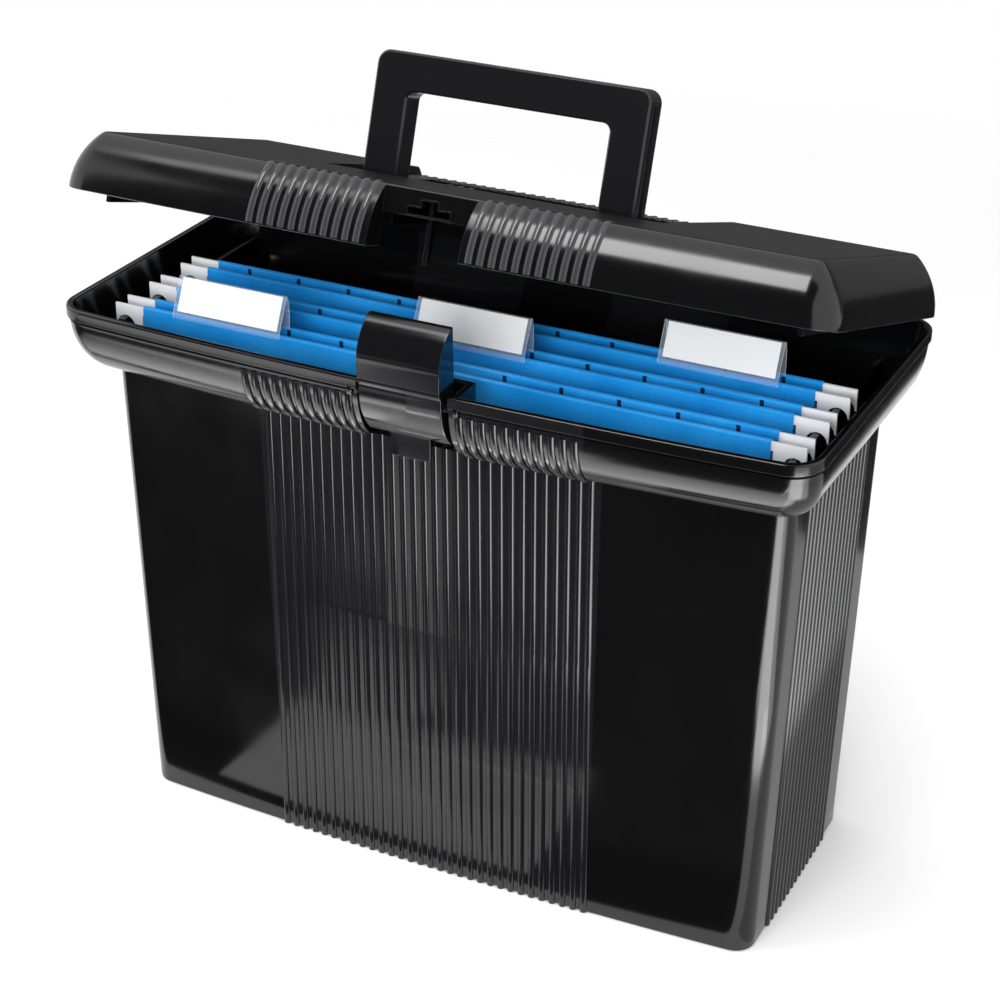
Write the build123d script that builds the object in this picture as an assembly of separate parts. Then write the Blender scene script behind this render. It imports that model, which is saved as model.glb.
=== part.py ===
from build123d import *
import os
from math import asin, cos, radians, sin, sqrt

# Portable file box: a flared tub, a hinged lid with a fold-down handle, a rocking
# front latch and three hanging folders.  Millimetres, +Z up, front towards -Y.
# The origin is the middle of the underside of the tub.  Lid pieces are drawn
# closed and then swung open together.

# tub
RIM_HALF_W, RIM_HALF_D = 175.0, 81.0        # outline of the rim and of the lid
RIM_Z = 250.0
FLARE_W, FLARE_D, FLARE_H = 15.0, 20.4, 32.0    # how far the flare leads out and up
DRAFT_W, DRAFT_D = 7.3, 0.6                 # how much narrower the floor is
BASE_BOW, WAIST_BOW, RIM_BOW = 4.6, 7.8, 5.8    # how far the front bulges there
LIP_H = 5.0                                 # upright band round the rim
LIP_STEP = 0.9                              # how far the band stands proud
WALL = 2.4
FLOOR = 2.6
BASE_CORNER, RIM_CORNER = 9.0, 14.0
CORNER_EASE = 0.8                           # how much tighter inner corners turn
CORNER_STEPS, INNER_STEPS = 5, 3            # flats in a lofted corner, outside and in
FLARE_ANGLES = (0, 22, 44, 66, 90)
FOOT_W, FOOT_H = 7.0, 1.5                   # ring that the box stands on

# ribs
RIB_PITCH = 5.07
RIB_COUNT = 31                              # across the front
SIDE_RIB_COUNT = 15
RIB_W, RIB_H = 3.2, 1.1                     # round ribs on the walls
BAND_RIB_W, BAND_RIB_H = 3.2, 0.8           # flat ribs on the flare and lid
BAND_RIB_SLOPE = 0.4
RIB_LAP = 1.0                               # how far the walls run up into the flare
FLOOR_RIB_H = 0.6                           # ribs in the handle recess

# rails for the hanging folders
RAIL_T, RAIL_DROP, RAIL_END = 3.0, 11.5, 3.6    # thick, below the rim, short of the wall
RAIL_OVER_WALL = 0.8                        # share of the rail that stands on the wall
RAIL_WEB_H = 12.0                           # web that blends the rail into the wall

# lid
SEAM = 0.3                                  # gap between rim and closed lid
LID_H = 25.7
LID_INSET = 12.3                            # how far the rolled edge leans in
LID_WALL = 2.2
LID_STEPS, LID_INNER_STEPS = 5, 3           # flats that make up the rolled edge
LID_TOP_CORNER = 0.9                        # least corner radius of the lid
OPEN_ANGLE = 18.5                           # the lid as it stands
RECESS_HALF_W, RECESS_FRONT_Y, RECESS_DEPTH = 79.0, -22.0, 4.2
LOCATOR_IN, LOCATOR_T, LOCATOR_DROP = 17.0, 2.0, 4.5
LOCATOR_FRONT, LOCATOR_REAR = 15.0, 21.0    # its ends, short of the front and rear

# hinge
HINGE_X, HINGE_OUT = 100.0, 4.2
HINGE_R, HINGE_PIN_R = 4.0, 1.6
KNUCKLE_L, KNUCKLE_GAP = 9.0, 0.35
PIN_FIT = 0.05                              # radial play on every pin
PIN_SHORT = 0.5                             # how far a hinge pin ends inside its knuckle
SWING_GAP = 0.5                             # room round a knuckle

# handle
HANDLE_HALF_W, HANDLE_T = 64.0, 13.5
HANDLE_ABOVE_LID = 52.6
HANDLE_BAR = 16.5
HANDLE_Y = -9.2
HANDLE_GAP = 0.5
HANDLE_PIN_R, HANDLE_PIN_L = 2.0, 4.0
HANDLE_CORNER_R, HANDLE_INNER_R, HANDLE_EDGE = 6.0, 3.6, 0.9
GROOVE_W, GROOVE_DEPTH = 5.0, 0.8
SCOOP_HALF_W, SCOOP_REACH = 34.0, 15.0      # finger room before the folded grip

# latch and its bay
LATCH_HALF_W, BAY_HALF_W = 19.0, 21.0
LATCH_WALL = 2.2
LATCH_OUT, LATCH_DROP = 2.5, 6.0            # pivot, before and below the rim
LATCH_PIN_R, LATCH_PIN_L = 2.0, 3.4
LATCH_ABOVE_LID = 1.0
LATCH_PROUD = 3.3                           # how far it stands before the lip
LATCH_RIDGE = 1.5                           # step under the pressed face
TAIL_HALF_W, TAIL_DROP = 9.3, 3.0           # finger pad, below the flare
CATCH_UP, CATCH_H, CATCH_HALF_W = 15.3, 2.8, 9.5    # slot in the lid for the hook
KEY_H, KEY_HALF_W = 3.2, 3.5                # narrow upper arm of the slot
NOTCH_IN = 5.7                              # notch wall, behind the lid's front line
HOOK_PLAY = 0.5
FIN_T = 1.8                                 # brace behind the notch wall
HOOK_REACH = 1.6                            # how far the hook goes into its slot
LATCH_STEPS = 4                             # flats in each curve of the latch
OVERLAP = 0.2                               # how deep joined shapes run into each other

# folders
FOLDER_FRONT = 9.1                          # first folder, from the rail's front end
FOLDER_GAPS = (0.0, 26.4, 52.1)             # folders, from the first one
FOLDER_SHORT, FOLDER_HALF_SPREAD = 9.9, 4.6
FOLDER_SHEET, FOLDER_BOTTOM_Z, FOLDER_FOLD_HALF_W = 0.5, 6.0, 2.2
ROD_OVER, ROD_T, ROD_UP, ROD_H = 5.1, 1.0, 5.5, 4.0
HOOK_L, HOOK_DOWN, HOOK_NOTCH_R = 14.0, 4.1, 4.5
ROD_PLAY = 0.25
SLOT_PITCH, SLOT_W, SLOT_H, SLOT_DOWN = 26.0, 3.0, 1.4, 1.5
TAB_CENTRES_X = (-104.0, 0.0, 104.0)
TAB_HALF_W, TAB_H, TAB_T, TAB_LEAN = 27.0, 17.0, 0.35, 25.0
TAB_GAP, TAB_FOOT_H = 0.3, 5.2
LABEL_HALF_W, LABEL_H, LABEL_T = 25.2, 15.2, 0.3

WAIST_HALF_W, WAIST_HALF_D = RIM_HALF_W - FLARE_W, RIM_HALF_D - FLARE_D
WAIST_Z = RIM_Z - FLARE_H
BASE_HALF_W, BASE_HALF_D = WAIST_HALF_W - DRAFT_W, WAIST_HALF_D - DRAFT_D
NECK_Z = WAIST_Z + WALL
RAIL_X = WAIST_HALF_W - WALL + RAIL_OVER_WALL - RAIL_T / 2
RAIL_HALF_L, RAIL_TOP_Z = WAIST_HALF_D - RAIL_END, RIM_Z - RAIL_DROP
LID_Z = RIM_Z + SEAM
LID_TOP_Z = LID_Z + LID_H
LID_ARC_R = (LID_H ** 2 + LID_INSET ** 2) / (2 * LID_INSET)
RECESS_Z = LID_TOP_Z - RECESS_DEPTH
LOCATOR_X = RIM_HALF_W - LOCATOR_IN
HINGE_Y, HINGE_Z = RIM_HALF_D + HINGE_OUT, RIM_Z
HINGE_AXIS = Axis((0, HINGE_Y, HINGE_Z), (1, 0, 0))
HANDLE_PIVOT_Z = RECESS_Z - HANDLE_T / 2 - HANDLE_GAP
HANDLE_REACH = LID_TOP_Z + HANDLE_ABOVE_LID - HANDLE_PIVOT_Z
LATCH_PIVOT_Y, LATCH_PIVOT_Z = -RIM_HALF_D - LATCH_OUT, RIM_Z - LATCH_DROP
LATCH_TOP_Z, TAIL_Z = LID_TOP_Z + LATCH_ABOVE_LID, WAIST_Z - TAIL_DROP
CATCH_Z0, CATCH_Z1 = LID_Z + CATCH_UP, LID_Z + CATCH_UP + CATCH_H
KEY_Z1 = CATCH_Z1 + KEY_H
NOTCH_BACK_Y = NOTCH_IN - RIM_HALF_D
BAY_BACK_Y = -(WAIST_HALF_D + WAIST_BOW)
FOLDER_CENTRES = [FOLDER_FRONT - RAIL_HALF_L + gap for gap in FOLDER_GAPS]
FOLDER_HALF_L, ROD_HALF_L = RAIL_X - FOLDER_SHORT, RAIL_X + ROD_OVER
ROD_TOP_Z, HOOK_BOTTOM_Z = RAIL_TOP_Z + ROD_UP, RAIL_TOP_Z - HOOK_DOWN
SLEEVE_HALF = ROD_T / 2 + ROD_PLAY + FOLDER_SHEET
SLEEVE_TOP_Z = ROD_TOP_Z + ROD_PLAY + FOLDER_SHEET
SLEEVE_LOW_Z = ROD_TOP_Z - ROD_H - ROD_PLAY - FOLDER_SHEET


def block(x0, x1, y0, y1, z0, z1):
    """A box from its low and high corners."""
    size = (x1 - x0, y1 - y0, z1 - z0)
    return Pos((x0 + x1) / 2, (y0 + y1) / 2, (z0 + z1) / 2) * Box(*size)


def bow_at(x, half_w, bow):
    """How far a front face with that bulge stands out at x."""
    return bow * (1 - (x / half_w) ** 2)


def round_rib(place, s):
    """Edges of one rounded rib whose middle is at s along a wall."""
    radius = ((RIB_W / 2) ** 2 + RIB_H ** 2) / (2 * RIB_H)
    swing = asin(RIB_W / 2 / radius)
    points = []
    for i in range(-2, 3):
        angle = swing * i / 2
        points.append(place(s + radius * sin(angle), RIB_H - radius * (1 - cos(angle))))
    return [Line(a, b) for a, b in zip(points, points[1:])]


def flat_rib(place, s):
    """Edges of one flat rib with sloping flanks."""
    half = BAND_RIB_W / 2
    top = half - BAND_RIB_SLOPE
    points = [place(s - half, 0), place(s - top, BAND_RIB_H),
              place(s + top, BAND_RIB_H), place(s + half, 0)]
    return [Line(a, b) for a, b in zip(points, points[1:])]


def wall_edges(place, half_l, spots, rib, plain):
    """One wall of an outline, with a rib at each spot and plain edges elsewhere."""
    half = (RIB_W if rib is round_rib else BAND_RIB_W) / 2
    edges = []
    here = -half_l
    for s in spots:
        edges.append(plain(place, here, s - half))
        edges += rib(place, s)
        here = s + half
    edges.append(plain(place, here, half_l))
    return edges


def straight(place, s0, s1):
    """Straight edge between two places along a wall."""
    return Line(place(s0, 0), place(s1, 0))


def bulged(place, s0, s1):
    """Edge of a bulged wall: an arc on its long stretches, a line between ribs."""
    if s1 - s0 < 2 * RIB_PITCH:
        return straight(place, s0, s1)
    return ThreePointArc(place(s0, 0), place((s0 + s1) / 2, 0), place(s1, 0))


def faceted(face, corner, steps):
    """The same plan with each corner arc drawn as short straight lines."""
    edges = []
    for edge in face.edges():
        if edge.geom_type == GeomType.CIRCLE and abs(edge.radius - corner) < 0.01:
            points = [edge @ (i / steps) for i in range(steps + 1)]
            edges += [Line(a, b) for a, b in zip(points, points[1:])]
        else:
            edges.append(edge)
    return make_face(edges)


def outline(half_w, half_d, bow, corner, z, front=(), back=(), sides=(), rib=round_rib,
            steps=CORNER_STEPS):
    """Plan of the box at one height: bulged front, straight sides, round corners.

    front, back and sides are the places of the ribs on those walls.  With steps set
    to 0 the corners are true arcs, otherwise each is that many short lines."""
    def front_wall(s, out):
        return s, -half_d - bow_at(s, half_w, bow) - out

    def right_wall(s, out):
        return half_w + out, s

    def back_wall(s, out):
        return -s, half_d + out

    def left_wall(s, out):
        return -half_w - out, -s

    edges = wall_edges(front_wall, half_w, front, rib, bulged)
    edges += wall_edges(right_wall, half_d, sides, rib, straight)
    edges += wall_edges(back_wall, half_w, back, rib, straight)
    edges += wall_edges(left_wall, half_d, sides, rib, straight)
    face = make_face(edges)
    ends = [v for v in face.vertices()
            if abs(abs(v.X) - half_w) < 0.001 and abs(abs(v.Y) - half_d) < 0.001]
    face = fillet(ends, corner)
    return Pos(0, 0, z) * (faceted(face, corner, steps) if steps else face)


def spaced(count, pitch, keep_out=0.0):
    """Places of ribs about the middle of a wall, leaving out a gap in the middle."""
    middle = (count - 1) / 2
    places = [(i - middle) * pitch for i in range(count)]
    return [s for s in places if abs(s) >= keep_out]


def rod_x(x0, x1, y, z, radius):
    """A round bar along X."""
    bar = Solid.make_cylinder(radius, x1 - x0, Plane((x0, y, z), z_dir=(1, 0, 0)))
    return Part() + bar


def slab(profile, x0, x1):
    """A flat outline of (y, z) points, drawn along X from x0 to x1."""
    wire = Polyline(*profile, close=True)
    face = make_face(Plane.YZ * wire)
    return Pos(x0, 0, 0) * extrude(face, x1 - x0, dir=(1, 0, 0))


def flare_section(angle, skin=0.0, front=()):
    """Outline of the flare at one angle of its quarter-round, skin deep."""
    share = sin(radians(angle))
    rise = RIM_Z - LIP_H - WAIST_Z
    z = WAIST_Z + rise * (1 - cos(radians(angle))) + skin * cos(radians(angle))
    back = (LIP_STEP + skin) * share
    half_w = WAIST_HALF_W + (RIM_HALF_W - WAIST_HALF_W) * share - back
    half_d = WAIST_HALF_D + (RIM_HALF_D - WAIST_HALF_D) * share - back
    bow = WAIST_BOW + (RIM_BOW - WAIST_BOW) * share
    corner = BASE_CORNER + (RIM_CORNER - BASE_CORNER) * share - CORNER_EASE * skin
    return outline(half_w, half_d, bow, corner, z, front, rib=flat_rib,
                   steps=INNER_STEPS if skin else CORNER_STEPS)


def tub_outside():
    """Tapered ribbed tub, quarter-round flare and upright lip, all solid."""
    wide = spaced(RIB_COUNT, RIB_PITCH)
    narrow = spaced(SIDE_RIB_COUNT, RIB_PITCH)
    base = outline(BASE_HALF_W, BASE_HALF_D, BASE_BOW, BASE_CORNER, 0,
                   wide, wide, narrow)
    waist = outline(WAIST_HALF_W, WAIST_HALF_D, WAIST_BOW, BASE_CORNER,
                    WAIST_Z + RIB_LAP, wide, wide, narrow)
    body = loft([base, waist], ruled=True)
    band = band_positions()
    body += loft([flare_section(a, front=band) for a in FLARE_ANGLES], ruled=True)
    lip = outline(RIM_HALF_W, RIM_HALF_D, RIM_BOW, RIM_CORNER, RIM_Z - LIP_H, steps=0)
    return body + extrude(lip, LIP_H, dir=(0, 0, 1))


def tub_inside():
    """The room inside the tub, with the rails and the latch bay left standing."""
    corner = BASE_CORNER - WALL
    rise = FLOOR / WAIST_Z
    floor_w = BASE_HALF_W + (WAIST_HALF_W - BASE_HALF_W) * rise - WALL
    floor_d = BASE_HALF_D + (WAIST_HALF_D - BASE_HALF_D) * rise - WALL
    floor_bow = BASE_BOW + (WAIST_BOW - BASE_BOW) * rise
    floor = outline(floor_w, floor_d, floor_bow, corner, FLOOR, steps=INNER_STEPS)
    neck = outline(WAIST_HALF_W - WALL, WAIST_HALF_D - WALL, WAIST_BOW, corner, NECK_Z,
                   steps=INNER_STEPS)
    room = loft([floor, neck], ruled=True)
    sections = [neck] + [flare_section(a, WALL) for a in FLARE_ANGLES[1:]]
    room += loft(sections, ruled=True)
    mouth = outline(RIM_HALF_W - WALL - LIP_STEP, RIM_HALF_D - WALL - LIP_STEP, RIM_BOW,
                    RIM_CORNER - WALL, RIM_Z - LIP_H, steps=0)
    room += extrude(mouth, LIP_H + 1, dir=(0, 0, 1))
    bay = BAY_HALF_W + WALL
    room -= block(-bay, bay, -RIM_HALF_D - RIM_BOW, BAY_BACK_Y + WALL,
                  WAIST_Z - WALL, RIM_Z - 1)
    flat = WAIST_HALF_D - WALL - BASE_CORNER
    for side in (-1, 1):
        x = side * RAIL_X
        room -= block(x - RAIL_T / 2, x + RAIL_T / 2, -RAIL_HALF_L, RAIL_HALF_L,
                      NECK_Z, RAIL_TOP_Z)
        room -= block(x - RAIL_T / 2, x + RAIL_T / 2, -flat, flat,
                      NECK_Z - RAIL_WEB_H, NECK_Z)
    return room


def band_positions():
    """The ribs of the flare and lid, which stop at the latch."""
    return spaced(RIB_COUNT, RIB_PITCH, BAY_HALF_W + BAND_RIB_W / 2)


def hinge_spans():
    """X ranges of the tub's knuckles and of the lid's knuckle at one hinge."""
    tub = [(-1.5 * KNUCKLE_L, -0.5 * KNUCKLE_L), (0.5 * KNUCKLE_L, 1.5 * KNUCKLE_L)]
    lid = (-0.5 * KNUCKLE_L + KNUCKLE_GAP, 0.5 * KNUCKLE_L - KNUCKLE_GAP)
    return tub, lid


def tub_knuckle(x0, x1):
    """One fixed knuckle with the web that ties it to the rim."""
    web = block(x0, x1, RIM_HALF_D - WALL, HINGE_Y, RIM_Z - LIP_H, HINGE_Z)
    return web + rod_x(x0, x1, HINGE_Y, HINGE_Z, HINGE_R)


def make_tub():
    """The box body, moulded in one piece."""
    tub = tub_outside()
    bay_top = RIM_Z + 1
    tub -= block(-BAY_HALF_W, BAY_HALF_W, -RIM_HALF_D - 3 * RIM_BOW, BAY_BACK_Y,
                 WAIST_Z, bay_top)
    tub -= tub_inside()
    foot = outline(BASE_HALF_W - FOOT_W, BASE_HALF_D - FOOT_W, BASE_BOW,
                   BASE_CORNER / 2, 0, steps=0)
    tub -= extrude(foot, FOOT_H, dir=(0, 0, 1))
    fixed, moving = hinge_spans()
    for side in (-1, 1):
        centre = side * HINGE_X
        for x0, x1 in fixed:
            tub += tub_knuckle(centre + x0, centre + x1)
        tub -= rod_x(centre + moving[0] - KNUCKLE_GAP, centre + moving[1] + KNUCKLE_GAP,
                     HINGE_Y, HINGE_Z, HINGE_R + SWING_GAP)
        tub -= rod_x(centre + fixed[0][0] - 1, centre + fixed[1][1] + 1,
                     HINGE_Y, HINGE_Z, HINGE_PIN_R + PIN_FIT / 2)
    bore = LATCH_PIN_R + PIN_FIT
    tub -= rod_x(-BAY_HALF_W - WALL - 1, BAY_HALF_W + WALL + 1,
                 LATCH_PIVOT_Y, LATCH_PIVOT_Z, bore)
    return tub


def lid_rises(height, steps):
    """Heights of the lid's sections, at even turns of its rolled edge."""
    turn = asin(height / LID_ARC_R)
    return [LID_ARC_R * sin(turn * i / steps) for i in range(steps + 1)]


def lid_section(rise, skin=0.0, front=()):
    """Outline of the lid's rolled edge at one height above its lower edge."""
    inset = LID_ARC_R - sqrt((LID_ARC_R - skin) ** 2 - rise ** 2)
    corner = max(RIM_CORNER - inset, LID_TOP_CORNER)
    return outline(RIM_HALF_W - inset, RIM_HALF_D - inset, RIM_BOW, corner,
                   LID_Z + rise, front, rib=flat_rib,
                   steps=INNER_STEPS if skin else CORNER_STEPS)


def pocket(grow, floor_z):
    """Space for the folded handle: a U-shaped channel with room for the fingers."""
    gap = HANDLE_GAP + grow
    front = HANDLE_Y - HANDLE_T / 2 - gap
    back = HANDLE_Y + HANDLE_REACH + gap
    outer = HANDLE_HALF_W + gap
    inner = HANDLE_HALF_W - HANDLE_BAR - gap
    grip_front = HANDLE_Y + HANDLE_REACH - HANDLE_BAR - gap
    plan = Pos(0, (front + back) / 2) * Rectangle(2 * outer, back - front)
    island = Pos(0, (front + grip_front) / 2 - 1) * Rectangle(
        2 * inner, grip_front - front + 2)
    island = fillet(island.vertices().sort_by(Axis.Y)[-2:], HANDLE_INNER_R + gap)
    plan -= island
    scoop_y = grip_front - SCOOP_REACH - grow
    plan += Pos(0, (scoop_y + back) / 2) * Rectangle(2 * (SCOOP_HALF_W + grow),
                                                     back - scoop_y)
    return Pos(0, 0, floor_z) * extrude(plan, LID_TOP_Z + 1 - floor_z, dir=(0, 0, 1))


def recess_ribs():
    """Low ribs that run back along the handle recess."""
    ribs = []
    back = RIM_HALF_D - LID_INSET * 0.75
    half = BAND_RIB_W / 2
    for x in spaced(RIB_COUNT, RIB_PITCH):
        ribs.append(block(x - half, x + half, RECESS_FRONT_Y, back,
                          RECESS_Z - LID_WALL / 2, RECESS_Z + FLOOR_RIB_H))
    return ribs


def notch_fin(wall_z):
    """Brace that runs up behind the notch wall and hangs down as a stop."""
    back = NOTCH_BACK_Y + LID_WALL
    top = LID_TOP_Z - LID_WALL + OVERLAP
    profile = [(back - OVERLAP, wall_z + CATCH_H), (back - OVERLAP, LID_Z - LOCATOR_DROP),
               (back + LID_WALL, LID_Z - LOCATOR_DROP), (back + 4 * LID_WALL, top),
               (back - OVERLAP, top)]
    fin = slab(profile, -FIN_T / 2, FIN_T / 2)
    return fin - block(-CATCH_HALF_W, CATCH_HALF_W, NOTCH_BACK_Y - 1,
                       back + OVERLAP, CATCH_Z0, KEY_Z1)


def make_lid():
    """The lid, closed: rolled edge, latch notch, handle recess and hinge knuckles."""
    band = band_positions()
    rises = lid_rises(LID_H, LID_STEPS)
    lid = loft([lid_section(r, front=band) for r in rises], ruled=True)
    ceiling = LID_H - LID_WALL
    rises = lid_rises(ceiling, LID_INNER_STEPS)
    room = loft([lid_section(r, LID_WALL) for r in rises], ruled=True)
    lid -= block(-RECESS_HALF_W, RECESS_HALF_W, RECESS_FRONT_Y, RIM_HALF_D + 5,
                 RECESS_Z, LID_TOP_Z + 1)
    lid += recess_ribs()
    skin = LID_WALL
    room -= block(-RECESS_HALF_W - skin, RECESS_HALF_W + skin, RECESS_FRONT_Y - skin,
                  RIM_HALF_D + 5, RECESS_Z - skin, LID_TOP_Z)
    pocket_z = HANDLE_PIVOT_Z - HANDLE_T / 2 - HANDLE_GAP
    room -= pocket(skin, pocket_z - skin)
    lid -= pocket(0, pocket_z)
    notch_wall = BAY_HALF_W + skin
    for side in (-1, 1):
        edge = sorted((side * BAY_HALF_W, side * notch_wall))
        room -= block(edge[0], edge[1], -RIM_HALF_D - 3 * RIM_BOW, NOTCH_BACK_Y + skin,
                      LID_Z, LID_TOP_Z)
    notch_wall_z = CATCH_Z0 - LID_WALL / 2
    room -= block(-notch_wall, notch_wall, NOTCH_BACK_Y, NOTCH_BACK_Y + skin,
                  notch_wall_z, LID_TOP_Z)
    lid -= room
    lid -= block(-BAY_HALF_W, BAY_HALF_W, -RIM_HALF_D - 3 * RIM_BOW, NOTCH_BACK_Y,
                 LID_Z - 1, LID_TOP_Z + 1)
    lid -= block(-CATCH_HALF_W, CATCH_HALF_W, NOTCH_BACK_Y - 1, NOTCH_BACK_Y + skin + 1,
                 CATCH_Z0, CATCH_Z1)
    lid -= block(-KEY_HALF_W, KEY_HALF_W, NOTCH_BACK_Y - 1, NOTCH_BACK_Y + skin + 1,
                 CATCH_Z0, KEY_Z1)
    lid += notch_fin(notch_wall_z)
    for side in (-1, 1):
        x = side * LOCATOR_X
        lid += block(x - LOCATOR_T / 2, x + LOCATOR_T / 2,
                     LOCATOR_FRONT - RIM_HALF_D, RIM_HALF_D - LOCATOR_REAR,
                     LID_Z - LOCATOR_DROP, LID_Z + ceiling + OVERLAP)
    fixed, moving = hinge_spans()
    for side in (-1, 1):
        centre = side * HINGE_X
        x0, x1 = centre + moving[0], centre + moving[1]
        for f0, f1 in fixed:
            lid -= rod_x(centre + f0 - KNUCKLE_GAP, centre + f1 + KNUCKLE_GAP,
                         HINGE_Y, HINGE_Z, HINGE_R + SWING_GAP)
        lid += block(x0, x1, RIM_HALF_D - skin, HINGE_Y, LID_Z, HINGE_Z + HINGE_R)
        lid += rod_x(x0, x1, HINGE_Y, HINGE_Z, HINGE_R)
        lid -= rod_x(x0 - 1, x1 + 1, HINGE_Y, HINGE_Z, HINGE_PIN_R + PIN_FIT)
    bore = HANDLE_PIN_R + PIN_FIT / 2
    for side in (-1, 1):
        ends = sorted((side * HANDLE_HALF_W, side * (HANDLE_HALF_W + HANDLE_GAP + skin + 1)))
        lid -= rod_x(ends[0], ends[1], HANDLE_Y, HANDLE_PIVOT_Z, bore)
    return lid


def make_hinge_pins():
    """Two steel pins, one through each hinge."""
    fixed, _ = hinge_spans()
    pins = []
    for side in (-1, 1):
        centre = side * HINGE_X
        pins.append(rod_x(centre + fixed[0][0] + PIN_SHORT,
                          centre + fixed[1][1] - PIN_SHORT,
                          HINGE_Y, HINGE_Z, HINGE_PIN_R))
    return Compound(children=[p.solid() for p in pins])


def make_handle():
    """The handle, standing: a rounded frame with a groove round its edge."""
    foot_z = HANDLE_PIVOT_Z
    top_z = HANDLE_PIVOT_Z + HANDLE_REACH
    outer = Pos(0, (foot_z + top_z) / 2) * Rectangle(2 * HANDLE_HALF_W, top_z - foot_z)
    tops = outer.vertices().sort_by(Axis.Y)[-2:]
    outer = fillet(tops, HANDLE_CORNER_R)
    gap_half_w = HANDLE_HALF_W - HANDLE_BAR
    hole = Pos(0, (foot_z + top_z) / 2 - HANDLE_BAR) * Rectangle(2 * gap_half_w,
                                                                 top_z - foot_z)
    hole = fillet(hole.vertices().sort_by(Axis.Y)[-2:], HANDLE_INNER_R)
    frame = Plane.XZ.offset(-HANDLE_Y - HANDLE_T / 2) * (outer - hole)
    handle = extrude(frame, HANDLE_T, dir=(0, -1, 0))
    handle = chamfer(long_edges(handle, HANDLE_T), HANDLE_EDGE)
    for side in (-1, 1):
        ends = sorted((side * gap_half_w, side * HANDLE_HALF_W))
        handle += rod_x(ends[0], ends[1], HANDLE_Y, HANDLE_PIVOT_Z, HANDLE_T / 2)
    for side in (-1, 1):
        x = side * HANDLE_HALF_W
        handle -= block(x - GROOVE_DEPTH, x + GROOVE_DEPTH, HANDLE_Y - GROOVE_W / 2,
                        HANDLE_Y + GROOVE_W / 2, foot_z + HANDLE_T / 2 + 1,
                        top_z - HANDLE_CORNER_R)
        ends = sorted((side * (HANDLE_HALF_W - HANDLE_BAR / 2), side * (HANDLE_HALF_W + 3)))
        handle -= rod_x(ends[0], ends[1], HANDLE_Y, HANDLE_PIVOT_Z,
                        HANDLE_PIN_R + PIN_FIT)
    return handle


def long_edges(part, depth):
    """Edges on the front and back faces of the handle's frame."""
    near = HANDLE_Y - depth / 2
    far = HANDLE_Y + depth / 2
    edges = part.edges()
    picked = []
    for edge in edges:
        box = edge.bounding_box()
        flat = box.max.Y - box.min.Y < 0.01
        on_face = min(abs(box.min.Y - near), abs(box.min.Y - far)) < 0.01
        if flat and on_face and box.max.Z > HANDLE_PIVOT_Z + 0.01:
            picked.append(edge)
    return picked


def make_handle_pins():
    """Two short pins that the handle turns on."""
    pins = []
    for side in (-1, 1):
        inner = side * (HANDLE_HALF_W - HANDLE_PIN_L)
        outer = side * (HANDLE_HALF_W + HANDLE_GAP + LID_WALL - OVERLAP)
        ends = sorted((inner, outer))
        pins.append(rod_x(ends[0], ends[1], HANDLE_Y, HANDLE_PIVOT_Z, HANDLE_PIN_R))
    return Compound(children=[p.solid() for p in pins])


def along(start, middle, end, steps):
    """Points at even steps along an arc through three places."""
    arc = ThreePointArc(start, middle, end)
    return [(p.X, p.Y) for p in (arc @ (i / steps) for i in range(steps + 1))]


def latch_skin():
    """Front line of the latch, from its top edge down to its tail, as (y, z)."""
    face = -(RIM_HALF_D + RIM_BOW + LATCH_PROUD)
    rise = LATCH_TOP_Z - RIM_Z
    crown = along((face + 10.5, LATCH_TOP_Z), (face + 2.6, RIM_Z + rise * 0.72),
                  (face, RIM_Z + rise / 3), LATCH_STEPS)
    ridge = [(face, RIM_Z + 0.6), (face + LATCH_RIDGE, RIM_Z - 0.9)]
    drop = RIM_Z - TAIL_Z
    chin = along((face + LATCH_RIDGE, RIM_Z - 0.08 * drop),
                 (face + 3.5, RIM_Z - 0.4 * drop), (face + 10.5, RIM_Z - 0.7 * drop),
                 LATCH_STEPS)
    return crown + ridge + chin


def make_latch():
    """The rocking latch: curved front, cheeks, hook, tail and two pivot stubs."""
    skin = latch_skin()
    wall = LATCH_WALL
    inner = [(y + wall, z) for y, z in skin]
    plate = slab(skin + inner[::-1], -LATCH_HALF_W, LATCH_HALF_W)
    back_y = NOTCH_BACK_Y - 1
    cheek = skin[:-1] + [(back_y - 4, LATCH_PIVOT_Z - LATCH_DROP), (back_y, RIM_Z + 1),
                         (back_y - 1, LATCH_TOP_Z)]
    for side in (-1, 1):
        ends = sorted((side * (LATCH_HALF_W - wall), side * LATCH_HALF_W))
        plate += slab(cheek, ends[0], ends[1])
    tail_y, tail_top = skin[-1]
    plate += block(-TAIL_HALF_W, TAIL_HALF_W, tail_y, tail_y + wall, TAIL_Z,
                   tail_top + OVERLAP)
    hook_low, hook_high = CATCH_Z0 + HOOK_PLAY, CATCH_Z1 - HOOK_PLAY
    hook_half = CATCH_HALF_W - 2 * HOOK_PLAY
    plate += block(-hook_half, hook_half, skin[LATCH_STEPS][0] + wall / 2,
                   NOTCH_BACK_Y + HOOK_REACH, hook_low, hook_high)
    for side in (-1, 1):
        ends = sorted((side * (LATCH_HALF_W - wall), side * (LATCH_HALF_W + LATCH_PIN_L)))
        plate += rod_x(ends[0], ends[1], LATCH_PIVOT_Y, LATCH_PIVOT_Z, LATCH_PIN_R)
    return plate


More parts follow.
